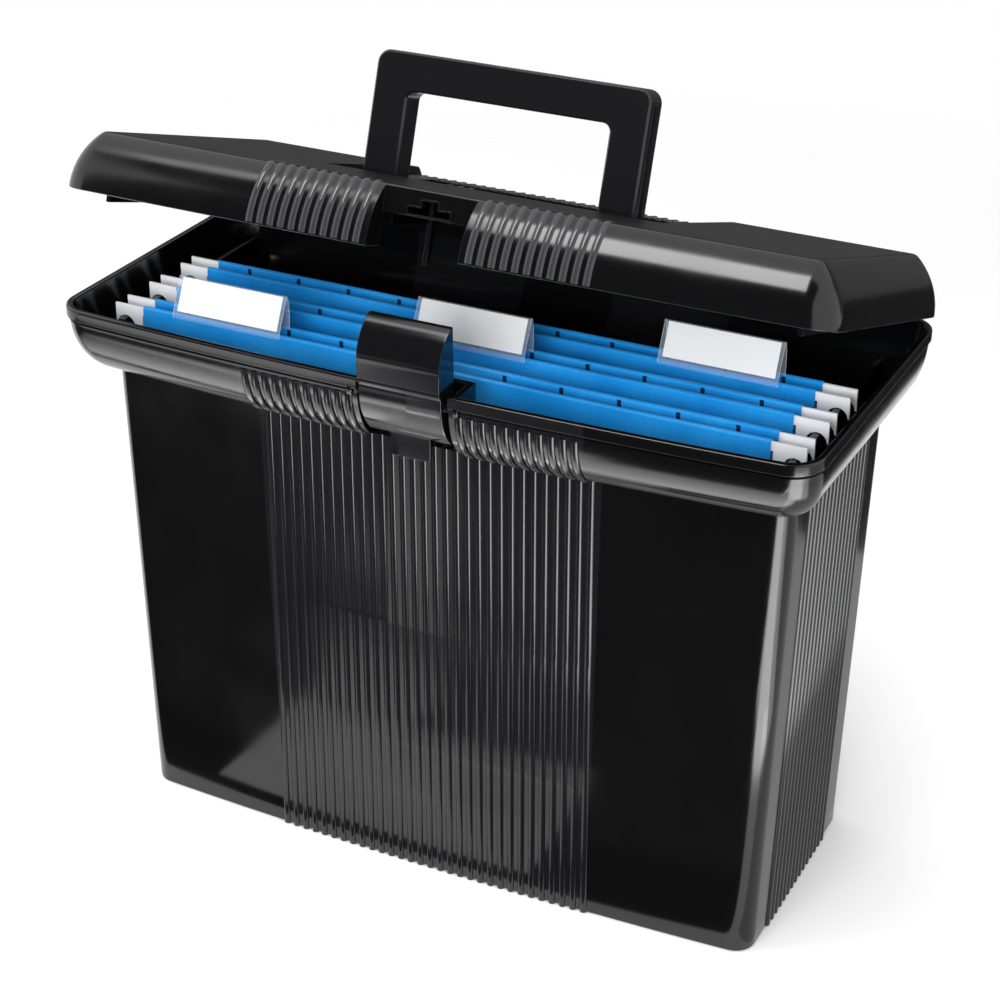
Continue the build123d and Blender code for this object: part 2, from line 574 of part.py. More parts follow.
def make_rod(y):
    """A folder rod: flat bar with a notched hook plate at each end."""
    low = ROD_TOP_Z - ROD_H
    plate = ROD_HALF_L - HOOK_L
    arch = along((RAIL_X - HOOK_NOTCH_R, HOOK_BOTTOM_Z), (RAIL_X, HOOK_BOTTOM_Z + HOOK_NOTCH_R),
                 (RAIL_X + HOOK_NOTCH_R, HOOK_BOTTOM_Z), 2 * LATCH_STEPS)
    right = [(plate, low), (plate, HOOK_BOTTOM_Z)] + arch + [
        (ROD_HALF_L, HOOK_BOTTOM_Z), (ROD_HALF_L, ROD_TOP_Z)]
    left = [(-x, z) for x, z in reversed(right)]
    profile = Polyline(*right, *left, close=True)
    return extrude(Plane.XZ.offset(-y - ROD_T / 2) * make_face(profile), ROD_T,
                   dir=(0, -1, 0))


def make_folder(centre_y):
    """One folder: two flaps, a flat fold at the bottom and a sleeve over each rod."""
    sheet = FOLDER_SHEET
    fold = FOLDER_FOLD_HALF_W
    low = FOLDER_BOTTOM_Z
    spread = FOLDER_HALF_SPREAD
    face = spread + SLEEVE_HALF
    outer = [(-face, SLEEVE_LOW_Z), (-fold, low), (fold, low), (face, SLEEVE_LOW_Z),
             (face - sheet, SLEEVE_LOW_Z), (fold - sheet, low + sheet),
             (-fold + sheet, low + sheet), (-face + sheet, SLEEVE_LOW_Z)]
    folder = slab(outer, -FOLDER_HALF_L, FOLDER_HALF_L)
    for side in (-1, 1):
        y = side * spread
        folder += block(-FOLDER_HALF_L, FOLDER_HALF_L, y - SLEEVE_HALF, y + SLEEVE_HALF,
                        SLEEVE_LOW_Z, SLEEVE_TOP_Z)
        hole = SLEEVE_HALF - sheet
        folder -= block(-FOLDER_HALF_L - 1, FOLDER_HALF_L + 1, y - hole, y + hole,
                        SLEEVE_LOW_Z + sheet, SLEEVE_TOP_Z - sheet)
    count = int(FOLDER_HALF_L // SLOT_PITCH)
    slot_z = ROD_TOP_Z - SLOT_DOWN
    for i in range(-count, count + 1):
        x = i * SLOT_PITCH
        folder -= block(x - SLOT_W / 2, x + SLOT_W / 2, spread - SLEEVE_HALF - 1,
                        spread - SLEEVE_HALF + sheet + OVERLAP / 2,
                        slot_z - SLOT_H / 2, slot_z + SLOT_H / 2)
    return Pos(0, centre_y, 0) * folder


def tab_corner(centre_y):
    """Place, as (y, z), a little off the top front edge of a folder's front sleeve."""
    return (centre_y - FOLDER_HALF_SPREAD - SLEEVE_HALF - TAB_GAP, SLEEVE_TOP_Z + TAB_GAP)


def tab_frame(centre_y, centre_x):
    """Where a tab stands: at the top front edge of the front sleeve, leaning back."""
    dip = (2 * TAB_T + LABEL_T + TAB_GAP) * sin(radians(TAB_LEAN))
    y, z = tab_corner(centre_y)
    return Pos(centre_x, y - TAB_T, z + dip) * Rot(-TAB_LEAN, 0, 0)


def make_tab(centre_y, centre_x):
    """Clear sleeve for a label, clipped over the folder's front edge."""
    gap = LABEL_T + TAB_GAP
    depth = 2 * TAB_T + gap
    sleeve = block(-TAB_HALF_W, TAB_HALF_W, 0, depth, 0, TAB_H)
    sleeve -= block(-TAB_HALF_W - 1, TAB_HALF_W + 1, TAB_T, TAB_T + gap, -1,
                    TAB_H - TAB_T)
    tab = tab_frame(centre_y, centre_x) * sleeve
    y, z = tab_corner(centre_y)
    foot = block(centre_x - TAB_HALF_W, centre_x + TAB_HALF_W, y - TAB_T, y,
                 z + 2 * TAB_T - TAB_FOOT_H, z + 2 * TAB_T)
    return tab + foot


def make_label(centre_y, centre_x):
    """Paper label inside its tab."""
    y0 = TAB_T + TAB_GAP / 2
    z0 = (TAB_H - TAB_T - LABEL_H) / 2 + TAB_GAP
    paper = block(-LABEL_HALF_W, LABEL_HALF_W, y0, y0 + LABEL_T, z0, z0 + LABEL_H)
    return tab_frame(centre_y, centre_x) * paper


def swing_open(part):
    """Turn a piece of the closed lid to the angle at which the lid stands."""
    return part.rotate(HINGE_AXIS, -OPEN_ANGLE)


def main():
    os.makedirs("parts", exist_ok=True)
    nodes = {
        "box_body": make_tub(),
        "lid": swing_open(make_lid()),
        "handle": swing_open(make_handle()),
        "handle_pins": swing_open(make_handle_pins()),
        "lid_hinge_pins": make_hinge_pins(),
        "latch": make_latch(),
    }
    for number, (y, x) in enumerate(zip(FOLDER_CENTRES, TAB_CENTRES_X), start=1):
        name = f"folder_{number}"
        nodes[f"{name}_sheet"] = make_folder(y)
        nodes[f"{name}_front_rod"] = make_rod(y - FOLDER_HALF_SPREAD)
        nodes[f"{name}_rear_rod"] = make_rod(y + FOLDER_HALF_SPREAD)
        nodes[f"{name}_tab"] = make_tab(y, x)
        nodes[f"{name}_label"] = make_label(y, x)
    for name, part in nodes.items():
        export_step(part, f"parts/{name}.step")


main()
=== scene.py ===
import logging
import math
from dataclasses import dataclass, field
from enum import Enum
from typing import Callable

import bmesh
import bpy
from mathutils import Matrix, Vector


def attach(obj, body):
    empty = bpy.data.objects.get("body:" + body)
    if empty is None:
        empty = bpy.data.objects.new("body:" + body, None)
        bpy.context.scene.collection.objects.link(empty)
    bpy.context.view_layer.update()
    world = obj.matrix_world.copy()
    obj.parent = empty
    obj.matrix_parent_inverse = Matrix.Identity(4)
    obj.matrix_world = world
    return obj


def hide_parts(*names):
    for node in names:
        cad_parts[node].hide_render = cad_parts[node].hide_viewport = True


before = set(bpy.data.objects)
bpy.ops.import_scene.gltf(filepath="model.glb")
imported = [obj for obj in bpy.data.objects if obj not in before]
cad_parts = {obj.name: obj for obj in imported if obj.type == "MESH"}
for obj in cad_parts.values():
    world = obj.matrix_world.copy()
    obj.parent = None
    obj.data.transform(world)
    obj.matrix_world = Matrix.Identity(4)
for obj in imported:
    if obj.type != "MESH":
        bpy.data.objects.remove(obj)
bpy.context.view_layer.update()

LOG = logging.getLogger("file_box")
MM = 0.001
CIRCLE_HANDLE = 0.5523      # handle of a quarter circle's curve, as a share of its radius
FAR = 99.0                  # clear of the part, in millimetres, for blocks that cut

Point = tuple[float, float, float]
Pair = tuple[float, float]
Socket = bpy.types.NodeSocket


def linear(code: str) -> tuple[float, float, float, float]:
    """Turn an sRGB hex colour into the linear values that shaders take.

    Args:
        code: six hex digits with a leading hash.

    Returns:
        Red, green, blue and an alpha of one.
    """
    parts = [int(code[i:i + 2], 16) / 255 for i in (1, 3, 5)]
    turned = [p / 12.92 if p <= 0.04045 else ((p + 0.055) / 1.055) ** 2.4 for p in parts]
    return (turned[0], turned[1], turned[2], 1.0)


def add_node(tree: bpy.types.NodeTree, kind: str, settings: dict | None = None,
             links: dict | None = None) -> bpy.types.Node:
    """Add a node to a tree.

    Args:
        tree: shader or geometry tree.
        kind: the node's type.
        settings: properties by name, and input values by socket name or number.
        links: source sockets by the name or number of the input they feed.

    Returns:
        The new node.
    """
    node = tree.nodes.new(kind)
    inputs = {}
    for key, value in (settings or {}).items():
        if isinstance(key, str) and hasattr(node, key):
            setattr(node, key, value)
        else:
            inputs[key] = value
    for key, value in inputs.items():
        node.inputs[key].default_value = value
    for key, source in (links or {}).items():
        tree.links.new(source, node.inputs[key])
    return node


class Paint:
    """A node material being made."""

    def __init__(self, name: str) -> None:
        """Start it with nothing but an output.

        Args:
            name: what the material is.
        """
        self.made = bpy.data.materials.new(name)
        self.made.use_nodes = True
        self.tree = self.made.node_tree
        self.tree.nodes.clear()
        self.output = add_node(self.tree, "ShaderNodeOutputMaterial")

    def add(self, kind: str, settings: dict | None = None, links: dict | None = None
            ) -> bpy.types.Node:
        """Add a shader node; its type goes without the ShaderNode in front."""
        return add_node(self.tree, "ShaderNode" + kind, settings, links)

    def place(self) -> Socket:
        """Give the place on the object, in metres."""
        return self.add("TexCoord").outputs["Object"]

    def zone(self, name: str) -> Socket:
        """Give the share that the mesh stores under a name."""
        return self.add("Attribute", {"attribute_name": name}).outputs["Fac"]

    def noise(self, width: float, detail: float, rough: float = 0.5,
              place: Socket | None = None) -> Socket:
        """Add noise.

        Args:
            width: width of its patches, in metres.
            detail: how many finer layers it has.
            rough: how strong the finer layers are.
            place: where it is read, if not at the place on the object.

        Returns:
            The socket that gives the noise.
        """
        where = self.place() if place is None else place
        return self.add("TexNoise", {"Scale": 1 / width, "Detail": detail, "Roughness": rough},
                        {"Vector": where}).outputs["Fac"]

    def ramp(self, source: Socket, to: Pair, limits: Pair = (0.0, 1.0)) -> Socket:
        """Stretch a value from one range to another.

        Args:
            source: the value.
            to: what it becomes at the two limits.
            limits: the values past which it stays the same.

        Returns:
            The socket that gives the result.
        """
        ends = {"From Min": limits[0], "From Max": limits[1], "To Min": to[0], "To Max": to[1]}
        return self.add("MapRange", ends, {"Value": source}).outputs["Result"]

    def product(self, first: Socket, second: Socket) -> Socket:
        """Multiply two values."""
        return self.add("Math", {"operation": "MULTIPLY"},
                        {0: first, 1: second}).outputs["Value"]

    def bump(self, height: Socket, depth: float, strength: float = 1.0,
             normal: Socket | None = None) -> Socket:
        """Tilt the surface as a height would.

        Args:
            height: the height, from zero to one.
            depth: what a height of one stands for, in metres.
            strength: the share of the tilt that is used.
            normal: the surface that it lies on, if not the mesh's own.

        Returns:
            The socket that gives the tilted surface.
        """
        links = {"Height": height} if normal is None else {"Height": height, "Normal": normal}
        return self.add("Bump", {"Strength": strength, "Distance": depth},
                        links).outputs["Normal"]

    def tint(self, first: str, second: str, share: Socket) -> Socket:
        """Mix two sRGB colours.

        Args:
            first: the colour at a share of zero.
            second: the colour at a share of one.
            share: the socket that gives the share.

        Returns:
            The socket that gives the mixed colour.
        """
        mix = self.add("Mix", {"data_type": "RGBA"}, {0: share})
        for socket in mix.inputs:
            if socket.type == "RGBA":
                socket.default_value = linear(first if socket.name == "A" else second)
        return next(s for s in mix.outputs if s.type == "RGBA")

    def close(self, shader: Socket) -> bpy.types.Material:
        """Let a shader be the surface.

        Args:
            shader: the socket that gives the shader.

        Returns:
            The finished material.
        """
        self.tree.links.new(shader, self.output.inputs["Surface"])
        return self.made

    def coat(self, settings: dict, links: dict) -> bpy.types.Material:
        """Finish the material with a principled shader's settings and links."""
        return self.close(self.add("BsdfPrincipled", settings, links).outputs["BSDF"])


@dataclass(frozen=True)
class MouldedPlastic:
    """High-impact polystyrene, injection moulded in a polished tool.

    The tool's polish leaves a deep gloss with a very slight ripple, and use leaves
    faint dulling in patches a few centimetres wide.
    """

    name: str
    colour: str
    roughness: float = 0.13
    dulling: float = 0.07
    patch: float = 30 * MM          # width of the duller patches
    ripple: float = 9 * MM          # width of the surface ripple
    ripple_height: float = 0.008 * MM
    grain: float = 0.5 * MM         # width of the pits where the tool was etched
    grain_depth: float = 0.04 * MM
    grain_roughness: float = 0.5
    gloss: float = 0.5              # strength of the reflections, and that of etched faces
    grain_gloss: float = 0.16
    rib_painted_highlight: str = "#141416"         # painted highlight: the ribs are drawn lighter than the plain walls
    edge: float = 0.35 * MM         # radius that the tool's edges were eased to

    def material(self) -> bpy.types.Material:
        """Build the node material.

        Returns:
            The material.
        """
        paint = Paint(self.name)
        etched = paint.zone("etched")
        rough = paint.ramp(paint.noise(self.patch, 5.0, 0.6),
                           (self.roughness, self.roughness + self.dulling), (0.35, 0.75))
        finish = paint.add("Mix", {"B": self.grain_roughness},
                           {"Factor": etched, "A": rough}).outputs["Result"]
        eased = paint.add("Bevel", {"samples": 4, "Radius": self.edge}).outputs["Normal"]
        rippled = paint.bump(paint.noise(self.ripple, 1.0), self.ripple_height, normal=eased)
        pits = paint.product(paint.noise(self.grain, 2.0), etched)
        return paint.coat({"IOR": 1.59}, {
            # the rib zone is mixed to a lighter colour, a painted highlight
            "Base Color": paint.tint(self.colour, self.rib_painted_highlight, paint.zone("rib_painted_highlight")),
            "Roughness": finish,
            "Specular IOR Level": paint.ramp(etched, (self.gloss, self.grain_gloss)),
            "Normal": paint.bump(pits, self.grain_depth, normal=rippled)})


@dataclass(frozen=True)
class DrawnSteel:
    """Plain drawn steel wire, with fine lines along its length."""

    name: str
    colour: str = "#b9babd"
    line: float = 0.3 * MM

    def material(self) -> bpy.types.Material:
        """Build the node material.

        Returns:
            The material.
        """
        paint = Paint(self.name)
        drawn_out = paint.add("Mapping", {"Scale": (0.02, 1.0, 1.0)}, {"Vector": paint.place()})
        lines = paint.noise(self.line, 2.0, place=drawn_out.outputs["Vector"])
        return paint.coat({"Base Color": linear(self.colour), "Metallic": 1.0},
                          {"Roughness": paint.ramp(lines, (0.25, 0.42))})


@dataclass(frozen=True)
class CoatedCard:
    """Dyed manila card with a thin satin coating.

    The fibres show as a very fine mottling, and handling leaves paler rubbed places.
    """

    name: str
    colour: str
    rubbed: str
    fibre: float = 0.9 * MM         # drawn coarser than real fibres, so that it shows
    cloud: float = 25 * MM

    def material(self) -> bpy.types.Material:
        """Build the node material.

        Returns:
            The material.
        """
        paint = Paint(self.name)
        fibres = paint.noise(self.fibre, 4.0, 0.7)
        rubbing = paint.product(fibres, paint.noise(self.cloud, 3.0))
        share = paint.ramp(rubbing, (0.0, 1.0), (0.12, 0.42))
        return paint.coat({"IOR": 1.5, "Roughness": 0.42, "Sheen Weight": 0.08},
                          {"Base Color": paint.tint(self.colour, self.rubbed, share),
                           "Normal": paint.bump(fibres, 0.03 * MM, 0.6)})


@dataclass(frozen=True)
class CoatedStrip:
    """Rolled steel strip with a light grey powder coat, slightly pebbled."""

    name: str
    colour: str = "#e4e6ea"
    pebble: float = 0.8 * MM

    def material(self) -> bpy.types.Material:
        """Build the node material.

        Returns:
            The material.
        """
        paint = Paint(self.name)
        pebbles = paint.noise(self.pebble, 2.0)
        return paint.coat({"Base Color": linear(self.colour), "IOR": 1.5},
                          {"Roughness": paint.ramp(pebbles, (0.3, 0.45)),
                           "Normal": paint.bump(pebbles, 0.02 * MM, 0.4)})


@dataclass(frozen=True)
class ClearFilm:
    """Clear rigid film, thermoformed.

    It is thin, so it is drawn as a sheet that lets light straight through, a little
    whiter where it is cut and where it is scuffed.
    """

    name: str
    tint: str = "#dfeaf4"
    clear: float = 0.1              # share of the light that the sheet stops
    cut: float = 0.75               # the same at its cut edges
    scuff: float = 4 * MM

    def material(self) -> bpy.types.Material:
        """Build the node material.

        Returns:
            The material.
        """
        paint = Paint(self.name)
        scuffs = paint.noise(self.scuff, 6.0)
        stop = paint.ramp(paint.zone("cut_edge"), (self.clear, self.cut))
        return paint.coat({"Base Color": linear(self.tint), "IOR": 1.5},
                          {"Roughness": paint.ramp(scuffs, (0.04, 0.2), (0.45, 0.8)),
                           "Alpha": stop})


@dataclass(frozen=True)
class LabelPaper:
    """Plain white uncoated paper with a soft fibre grain."""

    name: str
    colour: str = "#f4f4f2"
    shade: str = "#e9e9e6"
    grain: float = 0.6 * MM

    def material(self) -> bpy.types.Material:
        """Build the node material.

        Returns:
            The material.
        """
        paint = Paint(self.name)
        grains = paint.noise(self.grain, 5.0)
        return paint.coat({"IOR": 1.5, "Roughness": 0.85},
                          {"Base Color": paint.tint(self.colour, self.shade, grains),
                           "Normal": paint.bump(grains, 0.02 * MM, 0.5)})


class Shows(Enum):
    """What a lamp does."""

    LIGHT = "light"     # it lights and isn't seen in reflections
    GLOSS = "gloss"     # it is only seen in reflections


@dataclass(frozen=True)
class Lamp:
    """A soft box, in metres."""

    name: str
    place: Point
    size: Pair
    power: float                    # in watts
    shows: Shows = Shows.GLOSS
    target: Point | None = None     # the point it faces; else it faces straight up or down
    spread: float = 180.0           # degrees that its light stays within
    turn: float = 0.0               # degrees that a box which faces straight up is turned

    def hang(self) -> None:
        """Hang it in the scene."""
        data = bpy.data.lights.new(self.name, "AREA")
        data.spread = math.radians(self.spread)
        data.shape = "RECTANGLE"
        data.size, data.size_y = self.size
        data.energy = self.power
        hung = bpy.data.objects.new(self.name, data)
        hung.location = self.place
        x, y, z = self.place
        target = self.target or (x, y, 0.0 if z > 1 else 1.0)
        facing = Vector(target) - Vector(self.place)
        hung.rotation_euler = facing.to_track_quat("-Z", "Y").to_euler()
        if self.turn:
            hung.rotation_euler = (math.pi, 0.0, math.radians(self.turn))
        hung.visible_camera = False
        hung.visible_diffuse = self.shows is Shows.LIGHT
        hung.visible_glossy = self.shows is Shows.GLOSS
        bpy.context.scene.collection.objects.link(hung)


@dataclass(frozen=True)
class Card:
    """A grey card that keeps the white surroundings out of the glossy walls."""

    name: str
    tone: float                     # the grey that reflections show
    corners: tuple[Point, ...]      # in metres

    def stand(self) -> None:
        """Stand it in the scene."""
        data = bpy.data.meshes.new(self.name)
        data.from_pydata(self.corners, [], [(0, 1, 2, 3)])
        stood = bpy.data.objects.new(self.name, data)
        stood.visible_camera = stood.visible_diffuse = stood.visible_shadow = False
        stood.visible_transmission = False
        bpy.context.scene.collection.objects.link(stood)
        paint = Paint(self.name + "_paint")
        shade = paint.add("Emission", {"Color": (self.tone, self.tone, self.tone, 1)})
        data.materials.append(paint.close(shade.outputs["Emission"]))


LOW = 0.001         # just over the floor, for cards
NEAR = 0.003        # just over those cards, for glows
CARDS = (
    Card("front_floor_card", 0.01, ((-0.65, -1.4, LOW), (1.1, -1.4, LOW),
                                    (0.14, -0.07, LOW), (-0.65, -0.07, LOW))),
    Card("rear_floor_card", 0.03, ((0.2, 0.3, LOW), (1.2, 0.3, LOW),
                                   (1.2, 1.5, LOW), (0.2, 1.5, LOW))),
    Card("side_floor_card", 0.6, ((0.155, -0.07, LOW), (1.1, -0.3, LOW),
                                  (1.1, 0.3, LOW), (0.155, 0.3, LOW))),
    Card("front_card", 0.02, ((-1.8, -1.5, 0.0), (1.2, -1.5, 0.0),
                              (1.2, -1.5, 2.2), (-1.8, -1.5, 2.2))),
    Card("overhead_card", 0.02, ((-1.8, -1.5, 2.2), (1.2, -1.5, 2.2),
                                 (1.2, -0.3, 2.2), (-1.8, -0.3, 2.2))),
    Card("rear_card", 0.14, ((-1.8, 1.5, 0.0), (1.8, 1.5, 0.0),
                             (1.8, 1.5, 1.2), (-1.8, 1.5, 1.2))))
MIDDLE = (0.0, 0.0, 0.15)
LAMPS = (
    Lamp("top_box", (-0.15, -0.1, 1.5), (1.1, 0.8), 11, Shows.LIGHT, MIDDLE),
    Lamp("left_box", (-1.1, -0.7, 0.9), (0.7, 0.9), 8, Shows.LIGHT, MIDDLE),
    Lamp("right_box", (1.2, -0.5, 0.8), (0.5, 0.9), 7, Shows.LIGHT, MIDDLE),
    Lamp("front_box", (0.1, -1.4, 0.7), (0.9, 0.6), 16, Shows.LIGHT, (0.0, 0.0, 0.25)),
    Lamp("roll_strip", (-0.25, -0.37, 1.5), (0.55, 0.52), 7.8),
    Lamp("left_roll_strip", (-0.8, -0.18, 1.5), (0.5, 0.22), 0.8),
    Lamp("left_flare_glow", (-0.26, -0.185, NEAR), (0.5, 0.17), 0.5, spread=108.0),
    Lamp("left_far_glow", (-0.31, -0.385, NEAR), (0.38, 0.23), 1.7, spread=113.0),
    Lamp("right_flare_glow", (0.095, -0.168, NEAR), (0.31, 0.135), 0.15, spread=100.0),
    Lamp("ribs_glow", (-0.04, -0.125, NEAR), (0.17, 0.1), 0.06),
    Lamp("lip_glow", (-0.475, -0.63, NEAR), (0.35, 0.32), 0.7),
    Lamp("rib_face_glow", (-0.178, -0.36, NEAR), (0.44, 0.07), 0.1, turn=-115.4),
    Lamp("rib_line_glow", (0.375, -0.262, NEAR), (0.36, 0.2), 1.2, turn=-40.0),
    Lamp("corner_glow", (0.47, -0.16, NEAR), (0.4, 0.13), 0.35, turn=-28.0))


@dataclass
class Studio:
    """Camera, lamps, white surroundings and a pale floor that keeps the shadow."""

    azimuth: float = math.radians(25.36)
    elevation: float = math.radians(25.10)
    roll: float = math.radians(0.72)
    focal: float = 2.3867           # focal length, as a share of the picture's width
    eye: tuple[float, float, float] = (0.4215, -0.8558, 0.6568)
    centre: tuple[float, float] = (0.5282, 0.3973)
    floor_half: float = 1.5
    sunk: float = 0.0002            # how far the floor lies under the foot
    pale: float = 0.93              # the floor's grey
    fade_start: float = 0.45        # distances between which it fades
    fade_end: float = 1.2
    dim: float = 0.6                # light that the surroundings give

    def camera(self) -> None:
        """Set the camera that the photograph was taken with."""
        az, el = self.azimuth, self.elevation
        right = Vector((math.cos(az), math.sin(az), 0))
        back = Vector((math.sin(az) * math.cos(el), -math.cos(az) * math.cos(el),
                       math.sin(el)))
        up = back.cross(right)
        turned = right * math.cos(self.roll) + up * math.sin(self.roll)
        raised = up * math.cos(self.roll) - right * math.sin(self.roll)
        data = bpy.data.cameras.new("camera")
        data.sensor_width = 36.0
        data.lens = self.focal * data.sensor_width
        data.shift_x = 0.5 - self.centre[0]
        data.shift_y = self.centre[1] - 0.5
        data.dof.use_dof = False
        seen = bpy.data.objects.new("camera", data)
        placed = Matrix((turned, raised, back)).transposed().to_4x4()
        placed.translation = Vector(self.eye)
        seen.matrix_world = placed
        bpy.context.scene.collection.objects.link(seen)
        bpy.context.scene.camera = seen

    def surroundings(self) -> None:
        """White to the eye and in reflections, and a dim even light otherwise."""
        world = bpy.data.worlds.new("studio")
        world.use_nodes = True
        tree = world.node_tree
        tree.nodes.clear()
        path = add_node(tree, "ShaderNodeLightPath")
        seen = path.outputs["Is Camera Ray"]
        for ray in ("Is Glossy Ray", "Is Transmission Ray"):
            seen = add_node(tree, "ShaderNodeMath", {"operation": "MAXIMUM"},
                            {0: seen, 1: path.outputs[ray]}).outputs["Value"]
        dim = add_node(tree, "ShaderNodeBackground",
                       {"Color": (1, 1, 1, 1), "Strength": self.dim})
        white = add_node(tree, "ShaderNodeBackground", {"Color": (1, 1, 1, 1)})
        both = add_node(tree, "ShaderNodeMixShader", {},
                        {0: seen, 1: dim.outputs["Background"],
                         2: white.outputs["Background"]})
        output = add_node(tree, "ShaderNodeOutputWorld")
        tree.links.new(both.outputs["Shader"], output.inputs["Surface"])
        bpy.context.scene.world = world

    def floor(self) -> None:
        """Lay the pale floor, which fades into the white around it."""
        data = bpy.data.meshes.new("floor")
        half = self.floor_half
        low = -self.sunk
        data.from_pydata([(-half, -half, low), (half, -half, low), (half, half, low),
                          (-half, half, low)], [], [(0, 1, 2, 3)])
        laid = bpy.data.objects.new("floor", data)
        bpy.context.scene.collection.objects.link(laid)
        paint = Paint("floor_paint")
        reach = paint.add("VectorMath", {"operation": "LENGTH"}, {0: paint.place()})
        fade = paint.add("MapRange", {"interpolation_type": "SMOOTHSTEP",
                                      "From Min": self.fade_start, "From Max": self.fade_end},
                         {"Value": reach.outputs["Value"]})
        pale = paint.add("BsdfDiffuse", {"Color": (self.pale, self.pale, self.pale, 1)})
        both = paint.add("MixShader", {}, {0: fade.outputs["Result"], 1: pale.outputs["BSDF"],
                                           2: paint.add("BsdfTransparent").outputs["BSDF"]})
        data.materials.append(paint.close(both.outputs["Shader"]))

    def build(self) -> None:
        """Set up everything round the object."""
        self.camera()
        self.surroundings()
        self.floor()
        for card in CARDS:
            card.stand()
        for lamp in LAMPS:
            lamp.hang()
        bpy.context.scene.view_settings.view_transform = "Standard"


def turn_curve(start: Pair, start_way: Pair, end: Pair, end_way: Pair, reach: float,
               steps: int) -> list[Pair]:
    """Points round a corner, without the last one.

    Args:
        start: where the corner begins.
        start_way: direction there, of length one.
        end: where it ends.
        end_way: direction there, of length one.
        reach: length of the two handles that shape it.
        steps: how many points to give.

    Returns:
        The points, evenly spaced along the curve's parameter.
    """
    a = (start[0] + start_way[0] * reach, start[1] + start_way[1] * reach)
    b = (end[0] - end_way[0] * reach, end[1] - end_way[1] * reach)
    points = []
    for i in range(steps):
        t = i / steps
        shares = ((1 - t) ** 3, 3 * t * (1 - t) ** 2, 3 * t * t * (1 - t), t ** 3)
        points.append(tuple(sum(s * p[k] for s, p in zip(shares, (start, a, b, end)))
                            for k in (0, 1)))
    return points


@dataclass(frozen=True)
class Level:
    """One level of the tub or lid, in millimetres: its plan is a bulged rectangle."""

    z: float
    half_w: float
    half_d: float
    bow: float
    corner: float

    def inset(self, by: float, z: float) -> "Level":
        """The same plan drawn in by a distance, at another height."""
        return Level(z, self.half_w - by, self.half_d - by, self.bow,
                     max(self.corner - by, 0.8))

    def front(self, x: float) -> float:
        """Where the front wall is at x."""
        return -self.half_d - self.bow * (1 - (x / self.half_w) ** 2)

    def ring(self, across: int = 56, along: int = 14, turn: int = 10) -> list[Point]:
        """Points round the plan, anticlockwise from the front left.

        Args:
            across: points on the front and on the rear.
            along: points on each side.
            turn: points round each corner.

        Returns:
            The points, the same number at every level.
        """
        w, d, c = self.half_w, self.half_d, self.corner
        end = w - c
        slope = 2 * self.bow * end / w ** 2
        size = math.hypot(1, slope)
        lean = (1 / size, slope / size)
        reach = CIRCLE_HANDLE * c
        flat = [(-end + 2 * end * i / across, 0.0) for i in range(across)]
        points = [(x, self.front(x)) for x, _ in flat]
        points += turn_curve((end, self.front(end)), lean, (w, c - d), (0, 1), reach, turn)
        points += [(w, (c - d) * (1 - 2 * i / along)) for i in range(along)]
        points += turn_curve((w, d - c), (0, 1), (end, d), (-1, 0), reach, turn)
        points += [(-x, d) for x, _ in flat]
        points += turn_curve((-end, d), (-1, 0), (-w, d - c), (0, -1), reach, turn)
        points += [(-w, (d - c) * (1 - 2 * i / along)) for i in range(along)]
        points += turn_curve((-w, c - d), (0, -1), (-end, self.front(end)),
                             (lean[0], -lean[1]), reach, turn)
        return [(x, y, self.z) for x, y in points]


def between(low: Level, high: Level, z: float) -> Level:
    """The level at height z on the straight wall from one level to another.

    Args:
        low: the lower level.
        high: the higher one.
        z: the height.

    Returns:
        The level there.
    """
    t = (z - low.z) / (high.z - low.z)
    mix = [a + (b - a) * t for a, b in ((low.half_w, high.half_w), (low.half_d, high.half_d),
                                        (low.bow, high.bow), (low.corner, high.corner))]
    return Level(z, *mix)


